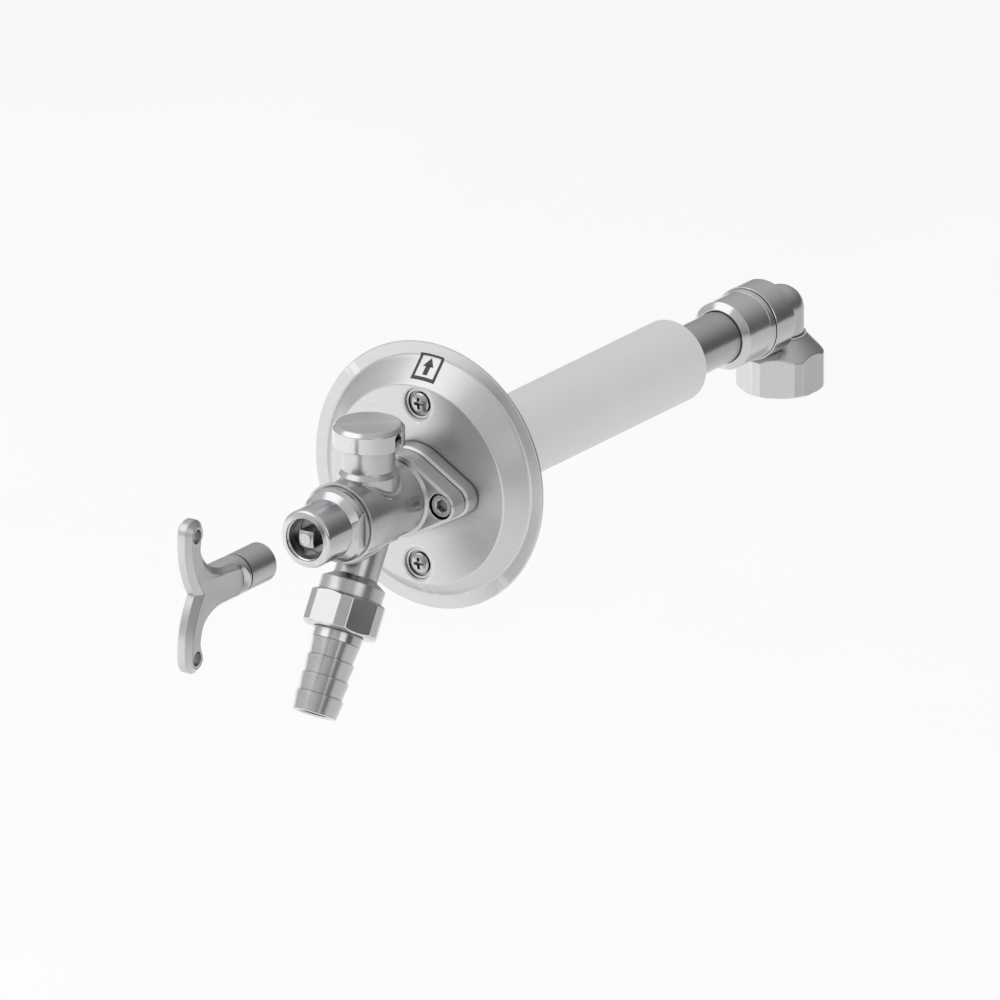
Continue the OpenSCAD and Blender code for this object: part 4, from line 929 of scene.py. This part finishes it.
p, f = key_shell()
wings = solid("key_wings", p, f, "key_unit", KEYCAST, "key_handle")
hole = [(0, -8, 0), (3.25, -8, 0), (3.25, -4.05, 0), (3.0, -3.7, 0), (3.0, 3.7, 0), (3.25, 4.05, 0),
        (3.25, 8, 0), (0, 8, 0)]
cut_out(wings, [tool([turned(hole, lambda u, v, s: wall_from_tap(np.stack([s, u - 170.5, v + z], -1)), 72)])
                for z in (26.5, -26.5)], KEYCAST, smooth=30)
shank = piece("key_shank", [turned([
    (0, -163, 0), (8.5, -163, 0), (8.5, -142.3, 0.05), (8.15, -142.2, 0.05), (8.15, -141.8, 0.05),
    (8.4, -141.65, 0.08), (8.4, -138.1, 0.06), (7.75, -138.0, 0.05), (7.75, -137.3, 0.05),
    (8.4, -137.2, 0.12), (8.4, -120.6, 0.3), (8.1, -120.4, 0.2), (6.3, -120.4, 0.1), (6.3, -133.0, 0),
    (0, -133.0, 0)], on_tap_axis, 240)], "key_unit", KEYCAST, "key_handle", smooth=30)
cut_out(shank, [key_pocket(1), key_pocket(-1)], KEYCAST, smooth=30)

# Floor, light, camera
bpy.ops.mesh.primitive_plane_add(size=12, location=(0, 0, -0.42))
floor = bpy.context.object
floor.name = "studio_floor"
floor_mat, tree, shader, coords = nodes_of("studio_floor_paint")
tree.links.new(ramp(tree, noise(tree, coords, 3.0), [(0.3, 0.93), (0.7, 0.95)]), shader.inputs["Base Color"])
shader.inputs["Roughness"].default_value = 0.9
shader.inputs["Specular IOR Level"].default_value = 0.0
rays = tree.nodes.new("ShaderNodeLightPath").outputs
# Seen only in reflections, the floor glows brighter towards -X and -Y and fades the other way: painted light
# that sets lit and shaded sides in the metals. Camera rays see an even glow that keeps the floor white.
painted_reflection_glow = gradient(tree, coords, (0.9, 0.43, 0), (-0.9, 0.9), (0.55, 0.03))
in_metal = combined(tree, "MAXIMUM", rays["Is Glossy Ray"], rays["Is Transmission Ray"])
glow = combined(tree, "ADD", combined(tree, "MULTIPLY", rays["Is Camera Ray"], 0.25),
                combined(tree, "MULTIPLY", in_metal, painted_reflection_glow))
tree.links.new(glow, shader.inputs["Emission Strength"])
shader.inputs["Emission Color"].default_value = (1, 1, 1, 1)
floor.data.materials.append(floor_mat)

world = bpy.data.worlds.new("studio")
bpy.context.scene.world = world
world.use_nodes = True
tree = world.node_tree
back = tree.nodes["Background"]
rays = tree.nodes.new("ShaderNodeLightPath").outputs
sky = tree.nodes.new("ShaderNodeTexCoord").outputs["Generated"]
in_metal = combined(tree, "MAXIMUM", rays["Is Glossy Ray"], rays["Is Transmission Ray"])
# Even light on dull surfaces, a soft gradient in the metals, and white behind everything
level = tree.nodes.new("ShaderNodeMix")
level.inputs[2].default_value = 0.66
tree.links.new(in_metal, level.inputs[0])
tree.links.new(gradient(tree, sky, (-0.44, -0.32, 0.84), (-0.45, 0.75), (0.14, 0.72), True), level.inputs[3])
seen = tree.nodes.new("ShaderNodeMix")
seen.inputs[3].default_value = 1.0
tree.links.new(rays["Is Camera Ray"], seen.inputs[0])
tree.links.new(level.outputs[0], seen.inputs[2])
tree.links.new(seen.outputs[0], back.inputs["Strength"])
back.inputs["Color"].default_value = (1, 1, 1, 1)


def area(name, where, size, watts):
    """A soft square lamp aimed at the tap."""
    lamp = bpy.data.lights.new(name, "AREA")
    lamp.size, lamp.energy = size, watts
    obj = bpy.data.objects.new(name, lamp)
    bpy.context.scene.collection.objects.link(obj)
    obj.location = where
    obj.rotation_euler = (Vector((0, 0.03, 0)) - Vector(where)).to_track_quat("-Z", "Y").to_euler()


area("key_light", (-1.7, -2.0, 2.5), 3.0, 27)
area("fill_light", (2.4, -1.2, 1.0), 1.4, 6)

# The photo is a parallel view: its right and up in the tap's frame, pixels per millimetre, and the pixel
# of the tap frame's origin in an image 1000 pixels wide
SCALE = 2.45
ORIGIN_X, ORIGIN_Y = 429.57, 478.91
right = np.array([0.8187, 0.5743, 0.0])
up = np.array([-0.1969, 0.2807, 0.9394])
centre_right = (500 - ORIGIN_X) / SCALE - right[1] * FORWARD
centre_up = (ORIGIN_Y - 500) / SCALE - up[1] * FORWARD
turn = np.array([[1, 0, 0], [0, math.cos(TILT), -math.sin(TILT)], [0, math.sin(TILT), math.cos(TILT)]])
right = turn @ right / np.linalg.norm(right)
up = turn @ up
up = up - right * (up @ right)
up /= np.linalg.norm(up)
away = np.cross(right, up)
centre = (right * centre_right + up * centre_up) / 1000
cam = bpy.data.cameras.new("photo_camera")
cam.type, cam.ortho_scale, cam.clip_start, cam.clip_end = "ORTHO", 1 / SCALE, 0.1, 50
eye = bpy.data.objects.new("photo_camera", cam)
bpy.context.scene.collection.objects.link(eye)
pose = np.eye(4)
pose[:3] = np.stack([right, up, away, centre + away * 3], -1)
eye.matrix_world = Matrix(pose.tolist())
bpy.context.scene.camera = eye
bpy.context.scene.view_settings.view_transform = "Standard"
